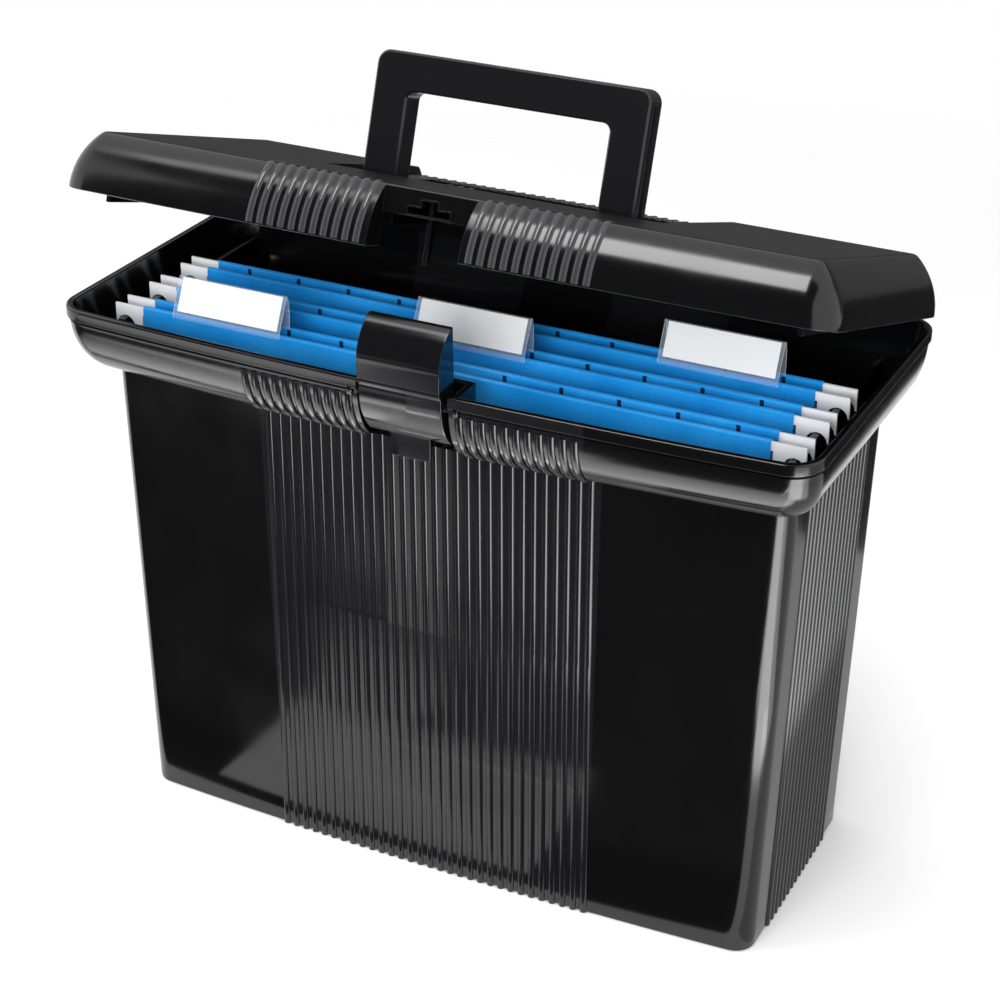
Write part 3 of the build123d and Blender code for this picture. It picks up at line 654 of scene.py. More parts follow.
class Shape:
    """A mesh being made, in millimetres."""

    def __init__(self) -> None:
        """Start with nothing."""
        self.mesh = bmesh.new()

    def skin(self, rings: list[list[Point]], capped: bool = True) -> "Shape":
        """Join rings of points one after another.

        Args:
            rings: the rings, each with the same number of points.
            capped: whether the first and last ring are filled.

        Returns:
            This shape.
        """
        rows = [[self.mesh.verts.new(p) for p in ring] for ring in rings]
        count = len(rows[0])
        for low, high in zip(rows, rows[1:]):
            for i in range(count):
                j = (i + 1) % count
                self.mesh.faces.new((low[i], low[j], high[j], high[i]))
        if capped:
            self.mesh.faces.new(rows[0][::-1])
            self.mesh.faces.new(rows[-1])
        return self

    def ease(self, faces: list[bmesh.types.BMFace], round_by: float) -> "Shape":
        """Round the edges of some faces.

        Args:
            faces: the faces.
            round_by: the radius, or zero to leave the edges sharp.

        Returns:
            This shape.
        """
        if round_by:
            edges = list(dict.fromkeys(e for f in faces for e in f.edges))
            bmesh.ops.bevel(self.mesh, geom=edges, offset=round_by, segments=2,
                            profile=0.5, affect="EDGES")
        return self

    def block(self, x: Pair, y: Pair, z: Pair, round_by: float = 0.0) -> "Shape":
        """Add a block between its low and high limits, with rounded edges if asked.

        Args:
            x: its low and high limit along X.
            y: the same along Y.
            z: the same along Z.
            round_by: radius of its edges, or zero for sharp ones.

        Returns:
            This shape.
        """
        corners = [(x[i], y[j], z[k]) for i, j, k in
                   ((0, 0, 0), (1, 0, 0), (1, 1, 0), (0, 1, 0),
                    (0, 0, 1), (1, 0, 1), (1, 1, 1), (0, 1, 1))]
        verts = [self.mesh.verts.new(c) for c in corners]
        sides = ((3, 2, 1, 0), (4, 5, 6, 7), (0, 1, 5, 4), (1, 2, 6, 5), (2, 3, 7, 6),
                 (3, 0, 4, 7))
        faces = [self.mesh.faces.new([verts[i] for i in side]) for side in sides]
        return self.ease(faces, round_by)

    def prism(self, outline: list[Pair], low: float, high: float, along: str = "Z",
              round_by: float = 0.0) -> "Shape":
        """Add an outline drawn out straight.

        Args:
            outline: its points: (x, y) along Z, (y, z) along X, (x, z) along Y.
            low: where it starts.
            high: where it ends.
            along: the axis it is drawn along.
            round_by: radius on its end edges.

        Returns:
            This shape.
        """
        place = {"Z": lambda p, s: (p[0], p[1], s), "X": lambda p, s: (s, p[0], p[1]),
                 "Y": lambda p, s: (p[0], s, p[1])}[along]
        rows = [[self.mesh.verts.new(place(p, s)) for p in outline] for s in (low, high)]
        count = len(outline)
        ends = [self.mesh.faces.new(rows[0][::-1]), self.mesh.faces.new(rows[1])]
        faces = [self.mesh.faces.new((rows[0][i], rows[0][(i + 1) % count],
                                      rows[1][(i + 1) % count], rows[1][i]))
                 for i in range(count)]
        bmesh.ops.recalc_face_normals(self.mesh, faces=faces + ends)
        return self.ease(ends, round_by)

    def bar(self, x: Pair, y: float, z: float, radius: float, edge: float = 0.3,
            steps: int = 28) -> "Shape":
        """Add a round bar along X with eased ends.

        Args:
            x: where it starts and ends.
            y: place of its axis.
            z: height of its axis.
            radius: its radius.
            edge: how far its ends are eased.
            steps: points round it.

        Returns:
            This shape.
        """
        rows = []
        for place, size in ((x[0], radius - edge), (x[0] + edge, radius),
                            (x[1] - edge, radius), (x[1], radius - edge)):
            rows.append([(place, y + size * math.cos(2 * math.pi * i / steps),
                          z + size * math.sin(2 * math.pi * i / steps))
                         for i in range(steps)])
        return self.skin(rows)

    def turn(self, angle: float, pivot: Pair) -> "Shape":
        """Turn it about an axis along X through a (y, z) place.

        Args:
            angle: how far, in radians.
            pivot: the place.

        Returns:
            This shape.
        """
        place = Vector((0, *pivot))
        turned = (Matrix.Translation(place) @ Matrix.Rotation(angle, 4, "X")
                  @ Matrix.Translation(-place))
        self.mesh.transform(turned)
        return self

    def to_object(self, name: str) -> bpy.types.Object:
        """Turn it into an object, still in millimetres, with its faces outward.

        Args:
            name: the object's name.

        Returns:
            The object; the shape is used up.
        """
        bmesh.ops.recalc_face_normals(self.mesh, faces=self.mesh.faces[:])
        data = bpy.data.meshes.new(name)
        self.mesh.to_mesh(data)
        self.mesh.free()
        made = bpy.data.objects.new(name, data)
        bpy.context.scene.collection.objects.link(made)
        return made


def settle(made: bpy.types.Object) -> bpy.types.Object:
    """Replace an object's mesh by what its modifiers make of it.

    Args:
        made: the object.

    Returns:
        The same object.
    """
    graph = bpy.context.evaluated_depsgraph_get()
    old = made.data
    result = bpy.data.meshes.new_from_object(made.evaluated_get(graph), depsgraph=graph)
    made.modifiers.clear()
    made.data = result
    result.name = made.name
    bpy.data.meshes.remove(old)
    return made


def mark(made: bpy.types.Object, name: str, chosen: Callable[[Vector, Vector], bool]) -> None:
    """Store on each face whether it is chosen, by its centre and its normal.

    Args:
        made: the object.
        name: what the choice is stored as.
        chosen: tells, from a face's centre and normal, whether it is chosen.
    """
    stored = made.data.attributes.new(name, "FLOAT", "FACE")
    values = [float(chosen(f.center, f.normal)) for f in made.data.polygons]
    stored.data.foreach_set("value", values)


def carve(made: bpy.types.Object, tool: Shape, operation: str = "DIFFERENCE") -> None:
    """Cut a shape out of an object, or join it on.

    Args:
        made: the object, in millimetres.
        tool: the shape that cuts or joins.
        operation: DIFFERENCE, UNION or INTERSECT.
    """
    cutter = tool.to_object("cutter")
    modifier = made.modifiers.new("carve", "BOOLEAN")
    modifier.operation = operation
    modifier.solver = "EXACT"
    modifier.object = cutter
    settle(made)
    bpy.data.objects.remove(cutter)


def cut_block(made: bpy.types.Object, x: Pair, y: Pair, z: Pair) -> None:
    """Cut a block out of an object, between its low and high limits."""
    carve(made, Shape().block(x, y, z))


def loft(levels: list[Level], name: str) -> bpy.types.Object:
    """Make an object, in millimetres, that is skinned over levels."""
    return Shape().skin([level.ring() for level in levels]).to_object(name)


def beside(side: int, near: float, far: float) -> Pair:
    """Give the span between two distances from the middle, on one side (-1 or 1)."""
    return (near, far) if side > 0 else (-far, -near)


def around(radius: float, degrees: float) -> Pair:
    """Give a point of a circle, as (across, up), by its angle from across."""
    turn = math.radians(degrees)
    return (radius * math.cos(turn), radius * math.sin(turn))


def as_shape(made: bpy.types.Object) -> Shape:
    """Take an object back to a shape, and remove the object.

    Args:
        made: the object.

    Returns:
        The shape.
    """
    shape = Shape()
    shape.mesh.from_mesh(made.data)
    bpy.data.objects.remove(made)
    return shape


def finish_piece(made: bpy.types.Object, paint: bpy.types.Material, body: str,
                 replaced: tuple[str, ...] = (), smooth: float = 32.0,
                 more: tuple[bpy.types.Material, ...] = ()) -> bpy.types.Object:
    """Take a piece to metres, dress it and let it ride.

    Args:
        made: the piece, in millimetres.
        paint: its material.
        body: the body that it rides on.
        replaced: CAD nodes that it stands for.
        smooth: sharpest turn, in degrees, that is shaded smooth.
        more: materials of the faces numbered from one.

    Returns:
        The piece.
    """
    data = made.data
    data.transform(Matrix.Scale(MM, 4))
    used = [0] * len(data.polygons)
    data.polygons.foreach_get("material_index", used)
    data.materials.clear()
    for each in (paint, *more):
        data.materials.append(each)
    data.polygons.foreach_set("material_index", [min(u, len(more)) for u in used])
    data.polygons.foreach_set("use_smooth", [True] * len(data.polygons))
    data.set_sharp_from_angle(angle=math.radians(smooth))
    weighted = made.modifiers.new("even_shading", "WEIGHTED_NORMAL")
    weighted.keep_sharp = True
    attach(made, body)
    if replaced:
        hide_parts(*replaced)
    LOG.info("built %s: %d faces", made.name, len(data.polygons))
    return made


class Shading(Enum):
    """How a carried-over solid is finished."""

    MOULDED = "moulded"     # small rounded edges
    CUT = "cut"             # edges left sharp


def new_tree(name: str, **inputs: str) -> bpy.types.NodeTree:
    """Start a geometry tree.

    Args:
        name: its name.
        inputs: kinds of its inputs after the geometry, with underscores for spaces.

    Returns:
        The tree, with geometry as its first input and as its output.
    """
    tree = bpy.data.node_groups.new(name, "GeometryNodeTree")
    for label, kind in (("Geometry", "Geometry"), *inputs.items()):
        tree.interface.new_socket(label.replace("_", " "), in_out="INPUT",
                                  socket_type="NodeSocket" + kind)
    tree.interface.new_socket("Geometry", in_out="OUTPUT", socket_type="NodeSocketGeometry")
    return tree


def repeat_tree() -> bpy.types.NodeTree:
    """Geometry tree that repeats one rib along X and lets each follow a bulged wall.

    Returns:
        The tree.  Its inputs are the count and pitch of the ribs, the gap left in the
        middle, the half width and the bulge of the wall at two heights, and the paint.
    """
    tree = new_tree("ribs_on_wall", Count="Int", Pitch="Float", Gap="Float",
                    Half_width="Float", Low="Float", High="Float", Low_bulge="Float",
                    High_bulge="Float", Paint="Material")
    given = add_node(tree, "NodeGroupInput").outputs

    def maths(operation: str, a: Socket | float, b: Socket | float) -> Socket:
        """Work out one sum of two sockets or numbers.

        Args:
            operation: the kind of sum.
            a: its first value.
            b: its second value.

        Returns:
            The socket that gives the result.
        """
        numbers = {k: v for k, v in ((0, a), (1, b)) if isinstance(v, (int, float))}
        wires = {k: v for k, v in ((0, a), (1, b)) if not isinstance(v, (int, float))}
        return add_node(tree, "ShaderNodeMath", {"operation": operation, **numbers},
                        wires).outputs[0]

    last = maths("MULTIPLY", maths("SUBTRACT", given["Count"], 1), given["Pitch"])
    start = add_node(tree, "ShaderNodeCombineXYZ", {}, {0: maths("MULTIPLY", last, -0.5)})
    step = add_node(tree, "ShaderNodeCombineXYZ", {}, {0: given["Pitch"]})
    line = add_node(tree, "GeometryNodeMeshLine", {},
                    {"Count": given["Count"], "Start Location": start.outputs[0],
                     "Offset": step.outputs[0]})
    here = add_node(tree, "GeometryNodeInputPosition").outputs[0]
    across = add_node(tree, "ShaderNodeSeparateXYZ", {}, {0: here}).outputs[0]
    wide = add_node(tree, "FunctionNodeCompare", {"operation": "GREATER_THAN"},
                    {"A": maths("ABSOLUTE", across, 0), "B": given["Gap"]})
    copies = add_node(tree, "GeometryNodeInstanceOnPoints", {},
                      {"Points": line.outputs[0], "Selection": wide.outputs[0],
                       "Instance": given["Geometry"]})
    real = add_node(tree, "GeometryNodeRealizeInstances", {}, {0: copies.outputs[0]})
    parts = add_node(tree, "ShaderNodeSeparateXYZ", {},
                     {0: add_node(tree, "GeometryNodeInputPosition").outputs[0]}).outputs
    climb = maths("DIVIDE", maths("SUBTRACT", parts[2], given["Low"]),
                  maths("SUBTRACT", given["High"], given["Low"]))
    bulge = maths("ADD", given["Low bulge"],
                  maths("MULTIPLY", climb,
                        maths("SUBTRACT", given["High bulge"], given["Low bulge"])))
    share = maths("DIVIDE", parts[0], given["Half width"])
    drop = maths("MULTIPLY", bulge, maths("SUBTRACT", 1, maths("MULTIPLY", share, share)))
    shift = add_node(tree, "ShaderNodeCombineXYZ", {}, {1: maths("MULTIPLY", drop, -1)})
    moved = add_node(tree, "GeometryNodeSetPosition", {},
                     {"Geometry": real.outputs[0], "Offset": shift.outputs[0]})
    painted = add_node(tree, "GeometryNodeSetMaterial", {},
                       {"Geometry": moved.outputs[0], "Material": given["Paint"]})
    result = add_node(tree, "NodeGroupOutput")
    tree.links.new(painted.outputs[0], result.inputs[0])
    return tree


def set_inputs(modifier: bpy.types.NodesModifier, values: dict[str, object]) -> None:
    """Give a geometry modifier its inputs by their names.

    Args:
        modifier: the modifier.
        values: the inputs' values by name.
    """
    for item in modifier.node_group.interface.items_tree:
        if item.item_type == "SOCKET" and item.in_out == "INPUT" and item.name in values:
            modifier[item.identifier] = values[item.name]


@dataclass(frozen=True)
class Rib:
    """A raised rib, in millimetres."""

    width: float
    height: float
    slope: float        # how far its flanks lean in
    sunk: float = 0.4   # how deep it stands in the wall

    def section(self) -> list[Pair]:
        """Half-round or flat section as (across, out), from left to right.

        Returns:
            The section's points.
        """
        half = self.width / 2
        if self.slope <= 0:
            radius = (half ** 2 + self.height ** 2) / (2 * self.height)
            swing = math.asin(half / radius)
            arc = [(radius * math.sin(swing * k / 5),
                    self.height - radius * (1 - math.cos(swing * k / 5)))
                   for k in range(-5, 6)]
            return [(-half, -self.sunk)] + arc + [(half, -self.sunk)]
        top = half - self.slope
        crown = 0.42
        right = [(0.0, self.height), (top * 0.4, self.height - crown * 0.16),
                 (top * 0.7, self.height - crown * 0.49), (top, self.height - crown),
                 (top + 0.12, self.height - crown - 0.15), (half, 0.0), (half, -self.sunk)]
        return [(-a, b) for a, b in reversed(right[1:])] + right

    def along(self, path: list[tuple[float, float, float, float]]) -> Shape:
        """Draw the rib along a path at x = 0.

        Args:
            path: places as (y, z) with the outward way there as (y, z).

        Returns:
            The rib as a closed shape.
        """
        rings = [[(a, y + b * ny, z + b * nz) for a, b in self.section()]
                 for y, z, ny, nz in path]
        return Shape().skin(rings)


WALL_RIB = Rib(3.2, 1.1, 0.0)       # half-round, up the walls
FLAT_RIB = Rib(3.2, 0.8, 0.4)       # over the flare and the lid's edge
LOW_RIB = Rib(3.2, 0.6, 0.4)        # along the handle recess
BESIDE_LATCH = 22.6                 # half width that the flat ribs leave to the latch


@dataclass(frozen=True)
class Wall:
    """The wall under a row of ribs, in millimetres, and its bulge at two heights."""

    half_width: float = 999.0
    low: float = 0.0
    high: float = 1000.0
    low_bulge: float = 0.0
    high_bulge: float = 0.0


def ribs(rib: Shape, name: str, paint: bpy.types.Material, wall: Wall = Wall(),
         count: int = 31, pitch: float = 5.07, gap: float = -1.0) -> bpy.types.Object:
    """Repeat a rib with the geometry tree and settle the result.

    Args:
        rib: one rib at x = 0.
        name: name of the row of ribs.
        paint: its material.
        wall: the wall that they follow, flat if not given.
        count: how many ribs.
        pitch: distance between them.
        gap: half width that is left free in the middle.

    Returns:
        The row of ribs as one plain mesh, in millimetres.
    """
    made = rib.to_object(name)
    modifier = made.modifiers.new("ribs", "NODES")
    modifier.node_group = bpy.data.node_groups.get("ribs_on_wall") or repeat_tree()
    set_inputs(modifier, {"Count": count, "Pitch": pitch, "Gap": gap, "Paint": paint,
                          "Half width": wall.half_width, "Low": wall.low, "High": wall.high,
                          "Low bulge": wall.low_bulge, "High bulge": wall.high_bulge})
    return settle(made)


def join(objects: list[bpy.types.Object], name: str) -> bpy.types.Object:
    """Make one object of several.

    Args:
        objects: the objects, which are used up.
        name: name of the new one.

    Returns:
        The new object.
    """
    shape = Shape()
    for item in objects:
        shape.mesh.from_mesh(item.data)
        bpy.data.objects.remove(item)
    return shape.to_object(name)


@dataclass
class Tub:
    """The box body: tapered walls with ribs, a quarter-round flare and an upright lip."""

    paint: bpy.types.Material
    rim_half_w: float = 175.0
    rim_half_d: float = 81.0
    rim_z: float = 250.0
    flare: tuple[float, float, float] = (15.0, 20.4, 32.0)      # its overhangs and height
    draft: Pair = (7.3, 0.6)        # how much narrower and shallower the foot is
    bows: tuple[float, float, float] = (4.6, 7.8, 5.8)          # at foot, waist and rim
    corners: Pair = (9.0, 14.0)     # radius up to the waist, and at the rim
    lip_h: float = 5.0
    lip_step: float = 0.9
    groove_h: float = 1.4
    groove_deep: float = 1.0
    wall: float = 2.4
    floor: float = 2.6
    bay_half_w: float = 21.0
    pitch: float = 5.07
    foot: float = 0.15              # where the wall ribs start
    rail: tuple[float, float, float] = (156.9, 57.0, 238.5)     # x, half length and top
    rail_half_t: float = 1.5
    web: Pair = (49.0, 12.0)        # half length under the rail, and how far it reaches down
    hinge: tuple[float, float, float] = (100.0, 85.2, 4.0)      # x, y and knuckle radius
    knuckle: Pair = (4.5, 13.5)     # its span either side of the hinge's middle
    latch_pivot: Pair = (-83.5, 244.0)
    boss: Pair = (23.2, 25.6)       # where the latch's bosses stand, beside the bay
    boss_radius: float = 3.6

    def __post_init__(self) -> None:
        """Work out the levels that the walls run between."""
        over_w, over_d, over_h = self.flare
        self.waist = Level(self.rim_z - over_h, self.rim_half_w - over_w,
                           self.rim_half_d - over_d, self.bows[1], self.corners[0])
        self.base = Level(0.0, self.waist.half_w - self.draft[0],
                          self.waist.half_d - self.draft[1], self.bows[0], self.corners[0])
        self.rim = Level(self.rim_z, self.rim_half_w, self.rim_half_d, self.bows[2],
                         self.corners[1])

    def flared(self, angle: float, skin: float = 0.0) -> Level:
        """The flare at one angle of its quarter-round, skin deep.

        Args:
            angle: how far round, in degrees.
            skin: how deep in the wall.

        Returns:
            The level there.
        """
        share = math.sin(math.radians(angle))
        rest = math.cos(math.radians(angle))
        rise = self.rim_z - self.lip_h - self.waist.z
        back = (self.lip_step + skin) * share
        low, high = self.waist, self.rim
        return Level(low.z + rise * (1 - rest) + skin * rest,
                     low.half_w + (high.half_w - low.half_w) * share - back,
                     low.half_d + (high.half_d - low.half_d) * share - back,
                     low.bow + (high.bow - low.bow) * share,
                     low.corner + (high.corner - low.corner) * share - 0.8 * skin)

    def outside(self, skin: float = 0.0) -> list[Level]:
        """Levels of the outside, from the foot up to the groove under the lip.

        Args:
            skin: how deep in the wall they run.

        Returns:
            The levels, from low to high.
        """
        levels = [between(self.base, self.waist, z).inset(by + skin, z)
                  for z, by in ((0.0, 1.2), (0.35, 0.35), (1.2, 0.0))]
        levels += [between(self.base, self.waist, z).inset(skin, z)
                   for z in (60, 120, 180, 212, 217.4)]
        levels += [self.flared(angle, skin) for angle in
                   (0, 3, 8, 15, 22.5, 30, 37.5, 45, 52.5, 60, 67.5, 75, 80, 84.5)]
        return levels

    def shell(self) -> bpy.types.Object:
        """The whole moulding as one closed skin, with the latch bay cut in.

        Returns:
            The shell.
        """
        rim, low_z = self.rim, self.rim_z - self.lip_h
        under = [self.base.inset(7.6, 1.5), self.base.inset(7.0, 0.0)]
        lip_in = self.lip_step + self.wall
        groove_z = low_z - self.groove_h
        edge = [(groove_z, self.lip_step + 0.15), (groove_z + 0.15, self.lip_step + 0.4),
                (groove_z + 0.2, self.lip_step + self.groove_deep),
                (low_z - 0.05, self.lip_step + self.groove_deep), (low_z, 0.45),
                (low_z + 0.15, 0.12), (low_z + 0.5, 0.0), (self.rim_z - 1.0, 0.0),
                (self.rim_z - 0.5, 0.13), (self.rim_z - 0.15, 0.45), (self.rim_z, 0.9),
                (self.rim_z, lip_in - 0.9), (self.rim_z - 0.15, lip_in - 0.4),
                (self.rim_z - 0.6, lip_in - 0.05), (self.rim_z - 1.2, lip_in)]
        levels = under + self.outside() + [rim.inset(by, z) for z, by in edge]
        levels += [self.flared(angle, self.wall) for angle in
                   (90, 82.5, 75, 67.5, 60, 52.5, 45, 37.5, 30, 22.5, 15, 8)]
        neck = self.waist.inset(self.wall, self.waist.z + self.wall)
        levels.append(neck)
        for z, by in ((160, 0.0), (80, 0.0), (6.0, 0.0), (3.6, 0.9), (self.floor, 3.2)):
            levels.append(between(self.base, self.waist, z).inset(self.wall + by, z))
        made = loft(levels, "tub_shell")
        solid = [level for level in self.outside(0.06) if level.z > 150]
        plug = loft(solid + [rim.inset(0.96, self.rim_z - 1.1)], "plug")
        half = self.bay_half_w + self.wall
        back = -(self.waist.half_d + self.waist.bow)
        carve(plug, Shape().block((-half, half), (-FAR, back + self.wall),
                                  (self.waist.z - self.wall, self.rim_z - 1.1)),
              "INTERSECT")
        carve(made, as_shape(plug), "UNION")
        cut_block(made, (-self.bay_half_w, self.bay_half_w), (-FAR, back),
                  (self.waist.z + 0.3, self.rim_z + 2))
        return made

    def wall_ribs(self, low: Pair, high: Pair, count: int, bulges: Pair, half_w: float
                  ) -> bpy.types.Object:
        """Half-round ribs up one wall, drawn as if it were the front one.

        Args:
            low: how far out the wall is, and its height, at the bottom.
            high: the same at the top.
            count: how many ribs.
            bulges: the wall's bulge at the bottom and at the top.
            half_w: the wall's half width.

        Returns:
            The row of ribs.
        """
        run, climb = high[0] - low[0], high[1] - low[1]
        size = math.hypot(run, climb)
        way = (-climb / size, -run / size)
        stops = (0.0, 0.004, 0.25, 0.5, 0.75, 1.0)
        path = [(-low[0] - run * t, low[1] + climb * t, way[0], way[1]) for t in stops]
        wall = Wall(half_w, low[1], high[1], *bulges)
        return ribs(WALL_RIB.along(path), "wall_ribs", self.paint, wall, count, self.pitch)

    def all_wall_ribs(self) -> bpy.types.Object:
        """Ribs on the front, the rear and both sides.

        Returns:
            All of them as one object.
        """
        low, high = self.base, self.waist
        top = high.z + 0.8
        half_w = high.half_w - 3.6
        deep, wide = (low.half_d, high.half_d), (low.half_w, high.half_w)
        rows = []
        for quarter, out, count, bulges in ((0, deep, 31, (low.bow, high.bow)),
                                            (2, deep, 31, (0.0, 0.0)),
                                            (1, wide, 15, (0.0, 0.0)),
                                            (-1, wide, 15, (0.0, 0.0))):
            row = self.wall_ribs((out[0], self.foot), (out[1], top), count, bulges, half_w)
            row.data.transform(Matrix.Rotation(quarter * math.pi / 2, 4, "Z"))
            rows.append(row)
        return join(rows, "tub_wall_ribs")

    def flare_ribs(self) -> bpy.types.Object:
        """Flat ribs round the flare, beside the latch bay.

        Returns:
            The row of ribs.
        """
        path = []
        for angle in (1, 5, 10, 18, 26, 34, 42, 50, 58, 66, 74, 80, 84):
            level = self.flared(angle)
            turn = math.radians(angle)
            path.append((-level.half_d, level.z, -math.sin(turn), -math.cos(turn)))
        wall = Wall(self.rim.half_w, self.waist.z, self.rim_z - 5, self.waist.bow, self.rim.bow)
        return ribs(FLAT_RIB.along(path), "tub_flare_ribs", self.paint, wall,
                    pitch=self.pitch, gap=BESIDE_LATCH)

    def fittings(self) -> bpy.types.Object:
        """Folder rails within the tub, hinge knuckles behind and bosses in the latch bay.

        Returns:
            All of them as one object.
        """
        shape = Shape()
        rail_x, rail_half, rail_top = self.rail
        web_half, web_drop = self.web
        hinge_x, hinge_y, radius = self.hinge
        neck_z = self.waist.z + self.wall
        for side in (-1, 1):
            x = beside(side, rail_x - self.rail_half_t, rail_x + self.rail_half_t)
            shape.block(x, (-rail_half, rail_half), (neck_z - 0.4, rail_top), 0.45)
            shape.block(x, (-web_half, web_half), (neck_z - web_drop, neck_z + 1), 0.4)
            for way in (-1, 1):
                low, high = beside(way, *self.knuckle)
                span = (side * hinge_x + low, side * hinge_x + high)
                shape.block(span, (self.rim_half_d - 1.5, hinge_y),
                            (self.rim_z - self.lip_h, self.rim_z), 0.3)
                shape.bar(span, hinge_y, self.rim_z, radius)
            shape.bar(beside(side, *self.boss), *self.latch_pivot, self.boss_radius)
        return shape.to_object("tub_fittings")

    def build(self) -> None:
        """Make every piece of the tub."""
        shell = self.shell()
        half = self.pitch * 15.5
        # faces in the rib zone are marked for the painted highlight colour
        mark(shell, "rib_painted_highlight", lambda centre, normal: abs(centre.x) < half
             and abs(centre.x) > (self.bay_half_w if centre.z > self.waist.z else 0.0)
             and normal.y < -0.05)
        finish_piece(shell, self.paint, "box", ("box_body",))
        for piece in (self.all_wall_ribs(), self.flare_ribs()):
            mark(piece, "rib_painted_highlight", lambda centre, normal: True)
            finish_piece(piece, self.paint, "box")
        finish_piece(self.fittings(), self.paint, "box")


@dataclass
class Lid:
    """The lid: rolled edge, latch notch, handle recess, drawn shut and then swung open."""

    paint: bpy.types.Material
    rim: Level
    low_z: float = 250.3
    height: float = 25.7
    lean: float = 12.3
    wall: float = 2.2
    recess: tuple[float, float, float] = (79.0, -22.0, 4.2)     # half width, front and depth
    pitch: float = 5.07
    notch_half_w: float = 21.0
    notch_y: float = -75.3
    catch: tuple[float, float, float, float] = (9.5, 265.6, 268.4, 271.6)   # slot and its key
    key_half_w: float = 3.5         # the middle of the catch slot, which is taller
    scoop: Pair = (34.0, 15.0)      # room for fingers: half width and depth
    bend: float = 3.6               # radius inside the folded handle's corners
    lip: Pair = (157.0, 159.0)      # the locating lips, from inside to outside
    lip_drop: float = 4.5
    knuckle: tuple[float, float, float] = (100.0, 4.15, 4.0)    # x, half length and radius
    handle: tuple[float, float, float] = (64.0, 13.5, 16.5)     # half width, depth and bar
    handle_y: float = -9.2
    handle_reach: float = 64.05
    open_angle: float = 18.5
    hinge: Pair = (85.2, 250.0)

    def __post_init__(self) -> None:
        """Work out the radius of the rolled edge and the heights that follow."""
        self.radius = (self.height ** 2 + self.lean ** 2) / (2 * self.lean)
        self.top_z = self.low_z + self.height
        self.recess_z = self.top_z - self.recess[2]
        self.pivot_z = self.recess_z - self.handle[1] / 2 - 0.5

    def rolled(self, rise: float, skin: float = 0.0) -> Level:
        """The rolled edge at one height above its lower edge.

        Args:
            rise: the height.
            skin: how deep in the wall.

        Returns:
            The level there.
        """
        inset = self.radius - math.sqrt((self.radius - skin) ** 2 - rise ** 2)
        return self.rim.inset(inset, self.low_z + rise)

    def outside(self) -> list[Level]:
        """Levels of the outside, from the lower edge to the flat top.

        Returns:
            The levels, from low to high.
        """
        levels = [self.rim.inset(0.5, self.low_z), self.rim.inset(0.15, self.low_z + 0.2)]
        levels += [self.rolled(self.radius * math.sin(math.radians(a)))
                   for a in (1.5, 5, 10, 15, 20, 25, 30, 35, 40, 44, 47)]
        levels += [self.rim.inset(by, self.low_z + rise) for rise, by in
                   ((25.0, 11.55), (25.45, 12.4), (25.65, 13.3), (25.7, 14.4))]
        return levels

    def pocket(self, grow: float, low: float) -> Shape:
        """Space of the folded handle: a channel round an island, with finger room.

        Args:
            grow: how much wider than the space itself.
            low: height of its floor.

        Returns:
            The space, as a shape to cut with.
        """
        half, thick, bar = self.handle
        gap = 0.5 + grow
        front = self.handle_y - thick / 2 - gap
        back = self.handle_y + self.handle_reach + gap
        outer, inner = half + gap, half - bar - gap
        grip = back - 2 * gap - bar
        scoop_w, scoop_y = self.scoop[0] + grow, grip - self.scoop[1] - grow
        rad = self.bend + gap
        bend = [(inner - rad + b, grip - rad + a)
                for a, b in (around(rad, d) for d in range(90, -1, -15))]
        right = [(outer, front), (inner, front)] + bend + [(scoop_w, grip),
                                                           (scoop_w, scoop_y)]
        plan = [(outer, back)] + right + [(-x, y) for x, y in reversed(right)]
        plan.append((-outer, back))
        return Shape().prism(plan, low, self.top_z + 3)

    def shell(self) -> bpy.types.Object:
        """The whole moulding.

        Returns:
            The shell, shut.
        """
        made = loft(self.outside(), "lid_shell")
        skin = self.wall
        ceiling = self.height - skin
        turn = math.asin(ceiling / (self.radius - skin))
        hollow = [self.rim.inset(skin, self.low_z - 2)]
        hollow += [self.rolled((self.radius - skin) * math.sin(turn * i / 8), skin)
                   for i in range(9)]
        room = loft(hollow, "room")
        half_w, front_y, _ = self.recess
        far = self.rim.half_d + 6
        cut_block(room, (-half_w - skin, half_w + skin), (front_y - skin, far),
                  (self.recess_z - skin, self.top_z + 5))
        floor_z = self.pivot_z - self.handle[1] / 2 - 0.5
        carve(room, self.pocket(skin, floor_z - skin))
        edge, back = self.notch_half_w, self.notch_y
        cut_block(room, (-edge - skin, edge + skin), (back, back + skin),
                  (self.catch[1] - skin / 2, self.top_z + 4))
        for side in (-1, 1):
            cut_block(room, beside(side, edge, edge + skin), (-FAR, back + skin),
                      (self.low_z - 5, self.top_z + 4))
        carve(made, as_shape(room))
        cut_block(made, (-half_w, half_w), (front_y, far + 3), (self.recess_z, self.top_z + 2))
        carve(made, self.pocket(0, floor_z))
        cut_block(made, (-edge, edge), (-FAR, back), (self.low_z - 2, self.top_z + 2))
        catch_w, low, high, key = self.catch
        through = (back - 1, back + skin + 0.6)
        cut_block(made, (-catch_w, catch_w), through, (low, high))
        cut_block(made, (-self.key_half_w, self.key_half_w), through, (low, key))
        return made

